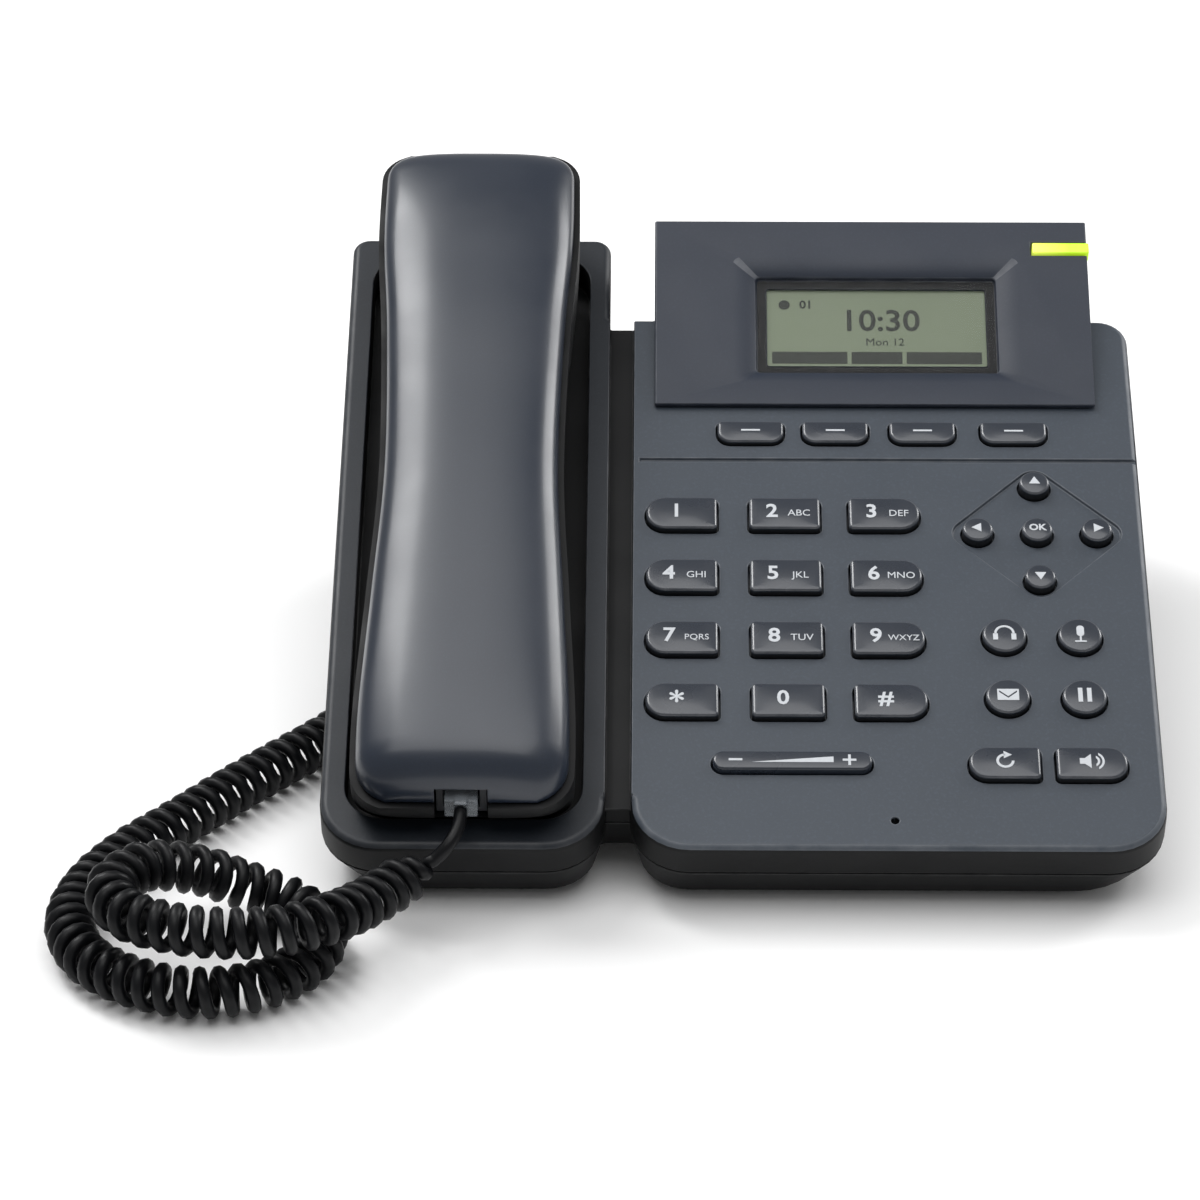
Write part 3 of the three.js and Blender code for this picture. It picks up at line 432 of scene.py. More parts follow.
def together(*parts):  # several meshes in one, not joined
    whole = bmesh.new()
    for part in parts:
        mesh = bpy.data.meshes.new("part")
        part.to_mesh(mesh)
        whole.from_mesh(mesh)
        part.free()
        bpy.data.meshes.remove(mesh)
    return whole


def asObject(bm, name):
    mesh = bpy.data.meshes.new(name)
    bm.to_mesh(mesh)
    bm.free()
    thing = bpy.data.objects.new(name, mesh)
    scene.collection.objects.link(thing)
    return thing


def evaluatedMesh(thing):  # the object's mesh with its modifiers, text or bevel worked out
    solved = thing.evaluated_get(bpy.context.evaluated_depsgraph_get())
    bm = bmesh.new()
    bm.from_mesh(solved.to_mesh())
    solved.to_mesh_clear()
    return bm


def discard(thing):
    mesh = thing.data
    bpy.data.objects.remove(thing)
    bpy.data.meshes.remove(mesh)


def carve(bm, tool, operation="DIFFERENCE"):
    target, cutter = asObject(bm, "target"), asObject(tool, "cutter")
    change = target.modifiers.new("carve", "BOOLEAN")
    change.operation, change.solver, change.object = operation, "EXACT", cutter
    change.use_self = True
    result = evaluatedMesh(target)
    discard(target)
    discard(cutter)
    return result


def soften(bm, width, segments=2, sharper=32):  # rounded edges, marked so the finish lightens them: partly edge wear, partly painted sheen
    worn = bm.faces.layers.float.get("worn") or bm.faces.layers.float.new("worn")
    bmesh.ops.remove_doubles(bm, verts=bm.verts, dist=0.002)
    bmesh.ops.dissolve_degenerate(bm, edges=bm.edges, dist=0.002)
    bmesh.ops.dissolve_limit(bm, angle_limit=math.radians(0.6), verts=bm.verts, edges=bm.edges)
    sharp = [e for e in bm.edges if len(e.link_faces) == 2 and e.calc_face_angle(0) > math.radians(sharper)]
    made = bmesh.ops.bevel(
        bm, geom=sharp, offset=width, offset_type="OFFSET", segments=segments, profile=0.5, affect="EDGES",
        clamp_overlap=False, loop_slide=True, material=-1)
    for face in made["faces"]:
        face[worn] = 1.0
    return bm


def addPiece(name, bm, place, slotName, body="root", stands=(), finish=None, sharpAt=38, weighted=True):
    bmesh.ops.transform(bm, matrix=place, verts=bm.verts)
    piece = asObject(bm, name)
    piece.data.materials.append(finish or finishes[slotName])
    piece.data.shade_smooth()
    piece.data.set_sharp_from_angle(angle=math.radians(sharpAt))
    if weighted:
        even = piece.modifiers.new("evenShading", "WEIGHTED_NORMAL")
        even.keep_sharp = True
    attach(piece, body)
    if stands:
        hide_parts(*stands)
    return piece


def refinedCopy(node, width=0.25, segments=2):  # a CAD mesh merged, in millimetres, with softened edges
    bm = bmesh.new()
    bm.from_mesh(cadNodes[node].data)
    bmesh.ops.scale(bm, vec=(1000, 1000, 1000), verts=bm.verts)
    return soften(bm, width, segments)


def lettering(text, size, x, y, z, thickness=0.1, align="CENTER", bold=0.0):
    data = bpy.data.curves.new("letters", "FONT")
    data.body, data.size, data.extrude, data.offset = text, size, thickness, bold
    data.align_x, data.align_y, data.resolution_u = align, "CENTER", 3
    thing = bpy.data.objects.new("letters", data)
    scene.collection.objects.link(thing)
    bm = evaluatedMesh(thing)
    bpy.data.objects.remove(thing)
    bpy.data.curves.remove(data)
    bmesh.ops.remove_doubles(bm, verts=bm.verts, dist=0.001)
    bmesh.ops.translate(bm, vec=(x, y, z - thickness), verts=bm.verts)
    return bm


# handset cord
cordRoute = {  # millimetres on the desk; the route repeats the cord's solids
    "wire": 3.0, "curl": 11.45, "pitch": 4.35, "perTurn": 16, "taper": 9.0,
    "pull": (1, -0.3, 0.5), "give": 32.4,
    "base": [(-67.1, 17.8, 24.6), (-67.1, 19.3, 18.8), (-67.3, 18.3, 12.6), (-69, 13, 8.2), (-73, 4, 6.3)],
    "curls": [
        (-78, -7, 6.2), (-88, -19, 6.2), (-97, -30.5, 6.2), (-106, -41, 6.2), (-115, -52, 6.2),
        (-125, -65, 6.2),
        (-136, -79, 6.2), (-143, -93, 6.2), (-145, -107.5, 6.2), (-140, -121, 6.2), (-128, -130.5, 6.2),
        (-114, -134, 6.2), (-101, -130, 6.2), (-92, -120, 6.2), (-91, -108, 6.2), (-98, -99, 6.6),
        (-108, -97.5, 10), (-118, -100, 15.5), (-129, -104.5, 19), (-135, -114, 19.2), (-131, -123.5, 19.2),
        (-121, -129, 19.2), (-110, -131, 19.2), (-98, -130, 19.2), (-88, -124.5, 18.8), (-81, -115, 16.5),
        (-74, -106.5, 16.5), (-67.5, -102.2, 18.8),
    ],
    "handset": [(-63.6, -100.6, 22.3), (-61.6, -96.8, 24.6), (-61.1, -92.7, 26.3)],
}


def smoothRoute(points, steps=12):  # centripetal Catmull-Rom through every point
    known = [Vector(p) for p in points]
    known = [known[0] * 2 - known[1], *known, known[-1] * 2 - known[-2]]
    route = []
    for a, b, c, d in zip(known, known[1:], known[2:], known[3:]):
        ta = 0.0
        tb = ta + (b - a).length ** 0.5
        tc = tb + (c - b).length ** 0.5
        td = tc + (d - c).length ** 0.5
        for i in range(steps):
            t = tb + (tc - tb) * i / steps
            ab = a * ((tb - t) / (tb - ta)) + b * ((t - ta) / (tb - ta))
            bc = b * ((tc - t) / (tc - tb)) + c * ((t - tb) / (tc - tb))
            cd = c * ((td - t) / (td - tc)) + d * ((t - tc) / (td - tc))
            abc = ab * ((tc - t) / (tc - ta)) + bc * ((t - ta) / (tc - ta))
            bcd = bc * ((td - t) / (td - tb)) + cd * ((t - tb) / (td - tb))
            route.append(abc * ((tc - t) / (tc - tb)) + bcd * ((t - tb) / (tc - tb)))
    return [*route, known[-2]]


def curledLine():  # the wire's own line: straight leads with the curls between them
    axis = smoothRoute([*cordRoute["base"], *cordRoute["curls"], *cordRoute["handset"]])
    starts = [0.0]
    for p, q in zip(axis, axis[1:]):
        starts.append(starts[-1] + (q - p).length)

    def along(wanted):
        low, high = 0, len(starts) - 1
        while high - low > 1:
            middle = (low + high) // 2
            low, high = (middle, high) if starts[middle] <= wanted else (low, middle)
        share = (wanted - starts[low]) / (starts[low + 1] - starts[low])
        return axis[low].lerp(axis[low + 1], share)

    def where(point):
        return starts[min(range(len(axis)), key=lambda i: (axis[i] - Vector(point)).length)]

    curlStart, curlEnd = where(cordRoute["curls"][0]), where(cordRoute["curls"][-1])
    reach = (cordRoute["curl"] - cordRoute["wire"]) / 2
    fine = cordRoute["pitch"] / cordRoute["perTurn"]
    line, place, side, turn = [], 0.0, Vector((0, 0, 1)), 0.0
    while place < starts[-1]:
        here = along(place)
        forward = (along(min(place + 0.2, starts[-1] - 1e-4)) - along(max(place - 0.2, 0))).normalized()
        side = (side - forward * side.dot(forward)).normalized()
        grown = min(1.0, max(0.0, min(place - curlStart, curlEnd - place) / cordRoute["taper"] + 0.15))
        radius = reach * grown * grown * (3 - 2 * grown)
        line.append(here + (side * math.cos(turn) + forward.cross(side) * math.sin(turn)) * radius)
        step = fine if grown > 0 else 1.0
        turn += 2 * math.pi * step / cordRoute["pitch"] if grown > 0 else 0
        place += step
    return [*line, axis[-1]]


def curlyCord():
    line = curledLine()
    data = bpy.data.curves.new("cordLine", "CURVE")
    data.dimensions, data.bevel_depth, data.bevel_resolution = "3D", cordRoute["wire"] / 2 * mm, 2
    data.use_fill_caps, data.twist_mode = True, "MINIMUM"
    spline = data.splines.new("POLY")
    spline.points.add(len(line) - 1)
    for point, at in zip(spline.points, line):
        point.co = (*(at * mm), 1)
    thing = bpy.data.objects.new("cordLine", data)
    scene.collection.objects.link(thing)
    bm = evaluatedMesh(thing)
    bpy.data.objects.remove(thing)
    bmesh.ops.remove_doubles(bm, verts=bm.verts, dist=1e-6)
    bmesh.ops.recalc_face_normals(bm, faces=bm.faces)
    tube = asObject(bm, "handsetCord")
    tube.data.materials.append(finishes["cord"])
    tube.data.shade_smooth()
    pull = Vector(cordRoute["pull"])  # towards the handset and away from the rest of the loop
    far = Vector(cordRoute["handset"][-1])
    near = far - pull.normalized() * (cordRoute["give"] / pull.length)
    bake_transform(tube, "root", "handset", start=near * mm, end=far * mm)
    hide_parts("curly_cord", "handset_lead", "base_lead")


def modularPlug(name, node, body):  # the clear plug at one end of the cord
    addPiece(name, refinedCopy(node, 0.3), deskFrame, "plug_plastic", body, [node])


modularPlug("handsetPlug", "handset_plug", "handset")
modularPlug("basePlug", "base_plug", "root")
curlyCord()
print("cord ready")


# top case
def bodyCorners():
    half, left, notch = base["width"] / 2, base["grooveLeft"], base["notch"]
    front, inner, shoulder = base["frontCorner"], base["innerCorner"], base["shoulder"]
    return [
        (-half, 0, front), (left, 0, front), (left, notch, inner), (grooveRight, notch, inner),
        (grooveRight, 0, front), (half, 0, front), (half, shoulder, base["shoulderCorner"]),
        (display["right"], shoulder, inner), (display["right"], display["rear"], inner),
        (display["left"], display["rear"], inner), (display["left"], shoulder, inner),
        (left, shoulder, inner),
        (left, base["length"], base["rearCorner"]), (-half, base["length"], base["rearCorner"]),
    ]


keyLook = {  # millimetres on the face
    "proud": 2, "gap": 0.35, "flange": 1.1, "flangeThickness": 1.2, "shoulder": 0.75, "crown": 0.28,
    "inkDepth": 0.3,
    "dialColumns": [-13.3, 10.3, 33.1], "dialRows": [97, 78, 59.3, 41], "dialSize": (16.2, 9.5),
    "dialRound": 4.4,
    "softColumns": [2.8, 22.5, 42.8, 64], "softRow": 123, "softSize": (15.3, 6.5),
    "navCentre": (68, 92.3), "navReach": (13.6, 14.4), "navRadius": 3.5,
    "roundColumns": [59, 76], "roundRows": [60.3, 42.3], "roundRadius": 4.9,
    "wideCentres": [57.5, 76.6], "wideRow": 23.3, "wideSize": (15.6, 8.8),
    "volumeCentre": (10.9, 23.7), "volumeSize": (35, 5.2), "rockerEdge": 0.7, "print": 0.03,
}
keyFloor = -base["wall"] - base["gap"] - keyLook["flangeThickness"]


def keyPlan():  # every key: name, centre, radius or size with corner radii, height
    plan = []
    names = ["1", "2", "3", "4", "5", "6", "7", "8", "9", "star", "0", "pound"]
    for i, name in enumerate(names):
        ends = [[keyLook["dialRound"], 1, 1, keyLook["dialRound"]], [1] * 4,
                [1, keyLook["dialRound"], keyLook["dialRound"], 1]][i % 3]
        plan.append({"name": f"key_{name}",
                     "at": (keyLook["dialColumns"][i % 3], keyLook["dialRows"][i // 3]),
                     "size": keyLook["dialSize"], "corners": ends, "proud": keyLook["proud"]})
    for i, x in enumerate(keyLook["softColumns"]):
        plan.append({"name": f"soft_key_{i + 1}", "at": (x, keyLook["softRow"]), "size": keyLook["softSize"],
                     "corners": [3, 3, 1, 1], "proud": keyLook["proud"] * 0.8})
    for name, dx, dy in (("up", 0, 1), ("left", -1, 0), ("ok", 0, 0), ("right", 1, 0), ("down", 0, -1)):
        x, y = keyLook["navCentre"]
        plan.append({"name": f"nav_{name}",
                     "at": (x + dx * keyLook["navReach"][0], y + dy * keyLook["navReach"][1]),
                     "radius": keyLook["navRadius"], "proud": keyLook["proud"]})
    for i, name in enumerate(("headset_key", "mute_key", "message_key", "hold_key")):
        plan.append({"name": name, "at": (keyLook["roundColumns"][i % 2], keyLook["roundRows"][i // 2]),
                     "radius": keyLook["roundRadius"], "proud": keyLook["proud"]})
    for i, name in enumerate(("redial_key", "speaker_key")):
        plan.append({"name": name, "at": (keyLook["wideCentres"][i], keyLook["wideRow"]),
                     "size": keyLook["wideSize"],
                     "corners": [[4, 1, 1, 4], [1, 4, 4, 1]][i], "proud": keyLook["proud"]})
    return plan


keys = keyPlan()
volume = {"name": "volume_key", "at": keyLook["volumeCentre"], "size": keyLook["volumeSize"],
          "corners": [2.4] * 4, "proud": keyLook["proud"] * 0.8}


def keyOutline(key, grow, along=1):  # along: how many lengths each straight side is split into
    x, y = key["at"]
    if "radius" in key:
        return circleOutline(x, y, key["radius"] + grow)
    steps = 6
    w, h = (side / 2 + grow for side in key["size"])
    corners = roundedOutline(
        rectangle(x - w, x + w, y - h, y + h, [max(r + grow, 0.25) for r in key["corners"]]), steps)
    points = []
    for i, (px, py) in enumerate(corners):
        points.append((px, py))
        if i % (steps + 1) == steps:
            qx, qy = corners[(i + 1) % len(corners)]
            points += [(px + (qx - px) * k / along, py + (qy - py) * k / along) for k in range(1, along)]
    return points


def cradleOutline(grow, steps=10):
    half = cradle["width"] / 2 + grow
    return roundedOutline(rectangle(
        cradle["centre"] - half, cradle["centre"] + half, cradle["front"] - grow, cradle["rear"] + grow,
        cradle["corner"] + grow), steps)


displayBevel = display["slope"] * 0.85
frameLeft = display["windowCentre"] - display["windowWidth"] / 2 - display["slope"]
frameRight = display["windowCentre"] + display["windowWidth"] / 2 + display["slope"]
frameStart = display["windowStart"] - displayBevel
frameEnd = display["windowStart"] + display["windowLength"] + displayBevel
ledgeBottom = -display["lensSink"] - display["lensThickness"] - 0.2


def displayTub(grow, top=0.0):
    edge = 1.4 + grow
    corners = rectangle(frameLeft - edge, frameRight + edge, frameStart - edge, frameEnd + edge, 2 + grow)
    return prism(roundedOutline(corners, 6), ledgeBottom - (20 + grow if grow else 0), top)


layers = {"keyTravel": 1.2, "mat": 1.3, "board": 1.6, "socketProud": 0.8}  # millimetres
rearSockets = {"network": (8, 33, 21, 13.4), "power": (56, 9.4, 14, 11)}  # left, width, depth, height
boardBottom = keyFloor - layers["keyTravel"] - base["gap"] - layers["mat"] - base["gap"] - layers["board"]
socketMouth = display["rear"] + layers["socketProud"]
blockToFace = faceFrame.inverted() @ blockFrame
underToFace = faceFrame.inverted() @ underFrame


def socketHole(left, width, depth, high):
    gap, top = base["gap"], boardBottom - base["gap"]
    return block(
        left - gap, left + width + gap, socketMouth - depth - gap, socketMouth + gap, top - high - gap,
        top + gap)


def topCase():
    skirt, wall, rimSteps = base["skirt"], base["wall"], 6
    rims = []
    for i in range(rimSteps + 1):
        turn = math.pi / 2 * i / rimSteps
        outline = roundedOutline(insetCorners(bodyCorners(), base["edgeRound"] * (1 - math.cos(turn))))
        rims.append(level(outline, base["edgeRound"] * (math.sin(turn) - 1)))
    shell = stack([level(roundedOutline(bodyCorners()), -skirt), *rims])
    inside = prism(roundedOutline(insetCorners(bodyCorners(), wall)), -skirt - 1, -wall)
    rib = block(base["grooveLeft"] - base["grooveWall"], grooveRight + base["grooveWall"], 0, base["length"],
                -base["grooveDepth"] - base["grooveWall"], 0)
    inside = carve(carve(inside, rib), prism(cradleOutline(wall), cradleFloor - wall, 1))
    well = carve(prism(cradleOutline(wall), cradleFloor - wall, -1),
                 prism(roundedOutline(insetCorners(bodyCorners(), wall / 2)), -base["length"], 0),
                 "INTERSECT")
    shell = carve(carve(shell, inside), well, "UNION")
    shell = carve(shell, block(base["grooveLeft"], grooveRight, -1, base["length"] + 1,
                               -base["grooveDepth"], 1))
    shell = carve(shell, prism(cradleOutline(0), cradleFloor, 1))
    holes = [prism(keyOutline(key, keyLook["gap"]), -wall - 1, 1) for key in [*keys, volume]]
    x, y = cradle["centre"], cradle["speakerY"]
    for row in (-2, -1, 0, 1, 2):
        half = 12 - abs(row) * 2
        holes.append(block(x - half, x + half, y + row * 5 - 1, y + row * 5 + 1, cradleFloor - wall - 1, -4))
    hook = cradle["hookY"]
    holes.append(block(x - 5.8, x + 5.8, hook - 3.8, hook + 3.8, cradleFloor - wall - 1, -4))
    holes.append(prism(circleOutline(display["windowCentre"], 8, 0.9, 16), -wall - 1, 1))
    shell = carve(shell, together(*holes))
    nx, ny = keyLook["navCentre"]
    reach = keyLook["navReach"][1] + keyLook["navRadius"] + 3
    diamond = [(nx, ny - reach, 4), (nx + reach, ny, 4), (nx, ny + reach, 4), (nx - reach, ny, 4)]
    shell = carve(shell, prism(roundedOutline(diamond), -0.7, 1))
    shell = carve(shell, block(grooveRight + 1.5, base["width"] / 2 + 1, 114.4, 115.4, -0.7, 1))
    shell = carve(shell, placed(displayTub(keyLook["gap"], 20), blockToFace))
    for socket in rearSockets.values():
        shell = carve(shell, socketHole(*socket))
    pads = [block(x + side * 13 - 1.5, x + side * 13 + 1.5, at - 6, at + 6, cradleFloor - 1.1,
                  cradleFloor + 1)
            for at in (cradle["front"] + 14, cradle["rear"] - 20) for side in (-1, 1)]
    shell = carve(shell, together(*pads), "UNION")
    shell = soften(shell, 0.32, 3)
    worn = shell.faces.layers.float["worn"]
    for face in shell.faces:  # the handset's lobe and the walls are darker than the keypad's face
        middle = face.calc_center_median()
        # the rim's upper faces are marked for a painted highlight strip along the rounded edge
        if -base["edgeRound"] * 0.6 < middle.z < -0.05 and 0.15 < face.normal.z < 0.97:
            face[worn] = 0.8
        if middle.z < -base["edgeRound"] * 0.6:
            face.material_index = 2
        elif middle.x < grooveRight + 0.2:
            face.material_index = 1
    case = addPiece("topCase", shell, faceFrame, "slate_plastic", stands=["top_case"])
    case.data.materials.append(lobeFinish)
    case.data.materials.append(finishes["black_plastic"])


topCase()
print("top case ready")


# bottom case
hull = {
    "bosses": [(-10, 22), (84, 22), (-10, 108), (84, 108), (-10, 172), (76, 172)], "bossRadius": 3.2,
    "slots": [(-45, 150), (45, 150)], "slotSize": (10, 3), "vents": 6,
    "cordJack": (-61.1, 108), "cordJackSize": (25, 11.4, 13.5), "screwRadius": 2.6,
    "label": (-6, 46, 92, 124),
}


def hullFloor(y):
    return -base["frontDepth"] - hullSlope * y


def bottomCase():
    top = -base["skirt"] - base["partLine"]

    def skin(inset):
        corners = insetCorners(bodyCorners(), base["hullDraft"] + inset)
        low = roundedOutline([
            (x, y, radius + base["hullRound"] if i in (0, 5, 12, 13) else radius)
            for i, (x, y, radius) in enumerate(corners)])
        high = roundedOutline(insetCorners(bodyCorners(), inset))
        return stack([[(x, y, hullFloor(y) + inset) for x, y in low], level(high, top + (1 if inset else 0))])

    shell = carve(skin(0), skin(base["wall"]))
    posts = [prism(circleOutline(x, y, hull["bossRadius"], 20), hullFloor(y) + 1.1, boardBottom - base["gap"])
             for x, y in hull["bosses"]]
    shell = carve(shell, together(*posts), "UNION")
    x, y, (w, l, h) = *hull["cordJack"], hull["cordJackSize"]
    gap = base["gap"]
    cuts = [block(x - w / 2 - gap, x + w / 2 + gap, y - l / 2 - gap, y + l / 2 + gap, -1.1, h + gap)]
    for i in range(hull["vents"]):
        cuts.append(prism(roundedOutline(rectangle(10, 50, 40 + i * 6, 42 + i * 6, 0.9), 4), -1,
                          base["wall"] + 1))
    for sx, sy in hull["slots"]:
        sw, sl = hull["slotSize"]
        cuts.append(block(sx - sw / 2 - gap, sx + sw / 2 + gap, sy - sl / 2 - gap, sy + sl / 2 + gap, -1,
                          3.2))
    for sx, sy in hull["bosses"]:
        cuts.append(prism(circleOutline(sx, sy, hull["screwRadius"] + 0.4, 28), -1, 1.5))
    x0, x1, y0, y1 = hull["label"]
    cuts.append(prism(roundedOutline(rectangle(x0, x1, y0, y1, 2)), -1, 0.35))
    shell = carve(shell, placed(together(*cuts), underToFace))
    shell = carve(shell, together(*[socketHole(*socket) for socket in rearSockets.values()]))
    addPiece("bottomCase", soften(shell, 0.35, 3), faceFrame, "black_plastic", stands=["bottom_case"])
    for i, (sx, sy) in enumerate(hull["bosses"]):
        addPiece(f"caseScrew{i + 1}", screwHead(sx, sy), underFrame, "steel", finish=screwSteel)
    addPiece("ratingPlate", soften(prism(roundedOutline(rectangle(
        x0 + 0.2, x1 - 0.2, y0 + 0.2, y1 - 0.2, 1.8)), 0.12, 0.35), 0.04, 1), underFrame, "steel",
        finish=labelPaper)


def screwHead(x, y):  # pan head with a cross recess, facing down
    bm = bmesh.new()
    bmesh.ops.create_cone(bm, cap_ends=True, segments=28, radius1=hull["screwRadius"],
                          radius2=hull["screwRadius"],
                          depth=1.1)
    bmesh.ops.translate(bm, vec=(x, y, 0.95), verts=bm.verts)
    arms = [block(x - w, x + w, y - h, y + h, 0, 0.95) for w, h in ((1.5, 0.32), (0.32, 1.5))]
    return soften(carve(bm, together(*arms)), 0.14, 2)


bottomCase()
print("bottom case ready")


# display block
def toBlock(y, z):  # from the face's side view to the display block's
    return tuple((blockToFace.inverted() @ Vector((0, y, z)))[1:])


def windowOutline(grow, radius):
    half = display["windowWidth"] / 2 + grow
    return roundedOutline(rectangle(
        display["windowCentre"] - half, display["windowCentre"] + half, display["windowStart"] - grow,
        display["windowStart"] + display["windowLength"] + grow, radius), 6)


def lampBar(grow):
    return block(display["lampLeft"] - grow, display["right"] + 0.5 + grow, display["lampStart"] - grow,
                 display["lampStart"] + display["lampWidth"] + grow, -3 - grow, 0.5 + grow)


def displayBlock():
    front, rear, low, wall = display["front"], display["rear"], base["gap"], display["wall"]
    blockEnd = toBlock(rear, display["riseRear"])[0]
    outer = sideBlock([toBlock(front, low), toBlock(rear, low), toBlock(rear, display["riseRear"]), (0, 0)],
                      display["left"], display["right"])
    inside = [toBlock(front + wall, low - 1), toBlock(rear - wall, low - 1), (blockEnd - wall, -wall),
              (wall, -wall)]
    hollow = sideBlock(inside, display["left"] + wall, display["right"] - wall)
    rim = roundedOutline(rectangle(frameLeft, frameRight, frameStart, frameEnd, 2), 6)
    over = roundedOutline(rectangle(frameLeft - 1.5, frameRight + 1.5, frameStart - 0.9, frameEnd + 0.9, 2),
                          6)
    ledge, ledgeDepth = display["ledge"] + base["gap"], display["lensSink"] + display["lensThickness"]
    sloped = stack([level(windowOutline(ledge, 1), -display["lensSink"]), level(rim, 0), level(over, 0.5)])
    shell = carve(carve(outer, hollow), displayTub(0), "UNION")
    shell = carve(shell, sloped)
    shell = carve(shell, prism(windowOutline(ledge, 1), -ledgeDepth, 0))
    shell = carve(shell, prism(windowOutline(0, 0.6), ledgeBottom - 1, 0))
    shell = carve(shell, lampBar(base["gap"]))
    shell = soften(shell, 0.4, 3)
    for face in shell.faces:  # a black border under the window's edge
        if -ledgeDepth - 0.1 < face.calc_center_median().z < -ledgeDepth + 0.1 and face.normal.z > 0.9:
            face.material_index = 1
    worn = shell.faces.layers.float["worn"]
    for face in shell.faces:  # the frame's upper corners get a painted highlight, strongly lightened through the edge marks
        middle, facing = face.calc_center_median(), face.normal
        pastWindow = middle.y > display["windowStart"] + display["windowLength"]
        inCorner = pastWindow and -display["lensSink"] < middle.z < 0
        if inCorner and abs(facing.x) > 0.08 and abs(facing.y) > 0.08 and facing.z > 0.3:
            face[worn] = 3.0
    bezel = addPiece("displayBlock", shell, blockFrame, "bezel_plastic", stands=["display_bezel"])
    bezel.data.materials.append(finishes["black_plastic"])
    lens = prism(windowOutline(display["ledge"], 0.8), -display["lensSink"] - 0.9, -display["lensSink"])
    addPiece("displayWindow", soften(lens, 0.15, 2), blockFrame, "clear_window", stands=["display_lens"])
    addPiece("indicatorLight", soften(lampBar(0), 0.35, 3), blockFrame, "lamp", stands=["indicator_light"])


displayBlock()

lcdLook = {
    "time": "10:30", "timeSize": 8.6, "date": "Mon 12", "dateSize": 3.0, "line": "01", "lineSize": 3.2,
    "margin": 2.0, "print": 0.06,
}


def lcdPanel():
    x0 = display["windowCentre"] - display["windowWidth"] / 2
    y0, top = display["windowStart"], ledgeBottom - base["gap"]
    module = block(x0 - 3, x0 + display["windowWidth"] + 3, y0 - 2, y0 + display["windowLength"] + 3,
                   top - 3.6, top)
    addPiece("lcdModule", soften(module, 0.2, 2), blockFrame, "lcd", stands=["lcd_module"])
    right, rear = x0 + display["windowWidth"], y0 + display["windowLength"]
    middle, margin, high = display["windowCentre"], lcdLook["margin"], top + lcdLook["print"]
    marks = [
        lettering(lcdLook["time"], lcdLook["timeSize"], middle + 1, y0 + 13.4, high, 0.03, bold=0.12),
        lettering(lcdLook["date"], lcdLook["dateSize"], middle + 2, y0 + 7.4, high, 0.03),
        prism(circleOutline(x0 + margin + 2.2, rear - 4.2, 1.35, 24), top + 0.01, high),
        lettering(lcdLook["line"], lcdLook["lineSize"], x0 + margin + 7.4, rear - 4.2, high, 0.03, bold=0.08),
    ]
    for start, end in ((middle + 7, right - 1.2), (x0 + 1.2, middle - 7), (middle - 6, middle + 6)):
        marks.append(block(start, end, y0 + 1.2, y0 + 4.6, top + 0.01, high))
    addPiece("lcdSegments", together(*marks), blockFrame, "lcd", finish=lcdInk, weighted=False)


lcdPanel()
print("display ready")


# keys
def crownDrop(key, dx, dy):  # how far the pillow top has dropped, from 0 at the middle to 1 at the edge
    if "radius" in key:
        return min((dx * dx + dy * dy) / (key["radius"] - keyLook["shoulder"]) ** 2, 1)
    w, h = (side / 2 - keyLook["shoulder"] for side in key["size"])
    return 1 - (1 - min((dx / w) ** 2, 1)) * (1 - min((dy / h) ** 2, 1))


def keyCap(key):
    proud, shoulder, crown, along = key["proud"], keyLook["shoulder"], keyLook["crown"], 8
    under = -base["wall"] - base["gap"]
    flange = keyOutline(key, keyLook["flange"], along)
    sections = [level(flange, keyFloor), level(flange, under), level(keyOutline(key, 0, along), under)]
    for i in range(6):
        turn = math.pi / 2 * i / 5
        sections.append(level(keyOutline(key, -shoulder * (1 - math.cos(turn)), along),
                              proud - crown - shoulder * (1 - math.sin(turn))))
    x, y = key["at"]
    edge = sections[-1]
    for share in (0.15, 0.35, 0.55, 0.75):
        ring = []
        for px, py, _ in edge:
            dx, dy = px - x, py - y
            drop = crownDrop(key, dx * (1 - share),
                             dy * (1 - share)) + (1 - crownDrop(key, dx, dy)) * (1 - share) ** 2
            ring.append((x + dx * (1 - share), y + dy * (1 - share), proud - crown * drop))
        sections.append(ring)
    bm = stack(sections)
    worn = bm.faces.layers.float.new("worn")
    for face in bm.faces:
        height = face.calc_center_median().z
        # the caps' rounded top edges are marked for lightening: edge wear and painted glint
        if height > proud - crown - shoulder * 0.6 and abs(face.normal.z) < 0.95:
            face[worn] = 1.0
        # the lower side walls take the darker material: painted shade
        if abs(face.normal.z) < 0.3 and height < proud - crown - shoulder:
            face.material_index = 1
    return bm


dialLetters = {"2": "ABC", "3": "DEF", "4": "GHI", "5": "JKL", "6": "MNO", "7": "PQRS", "8": "TUV",
               "9": "WXYZ"}


def arrow(x, y, turn, size):  # a small filled triangle
    turns = [turn + k * 2 * math.pi / 3 for k in range(3)]
    return [(x + size * math.cos(t), y + size * math.sin(t)) for t in turns]


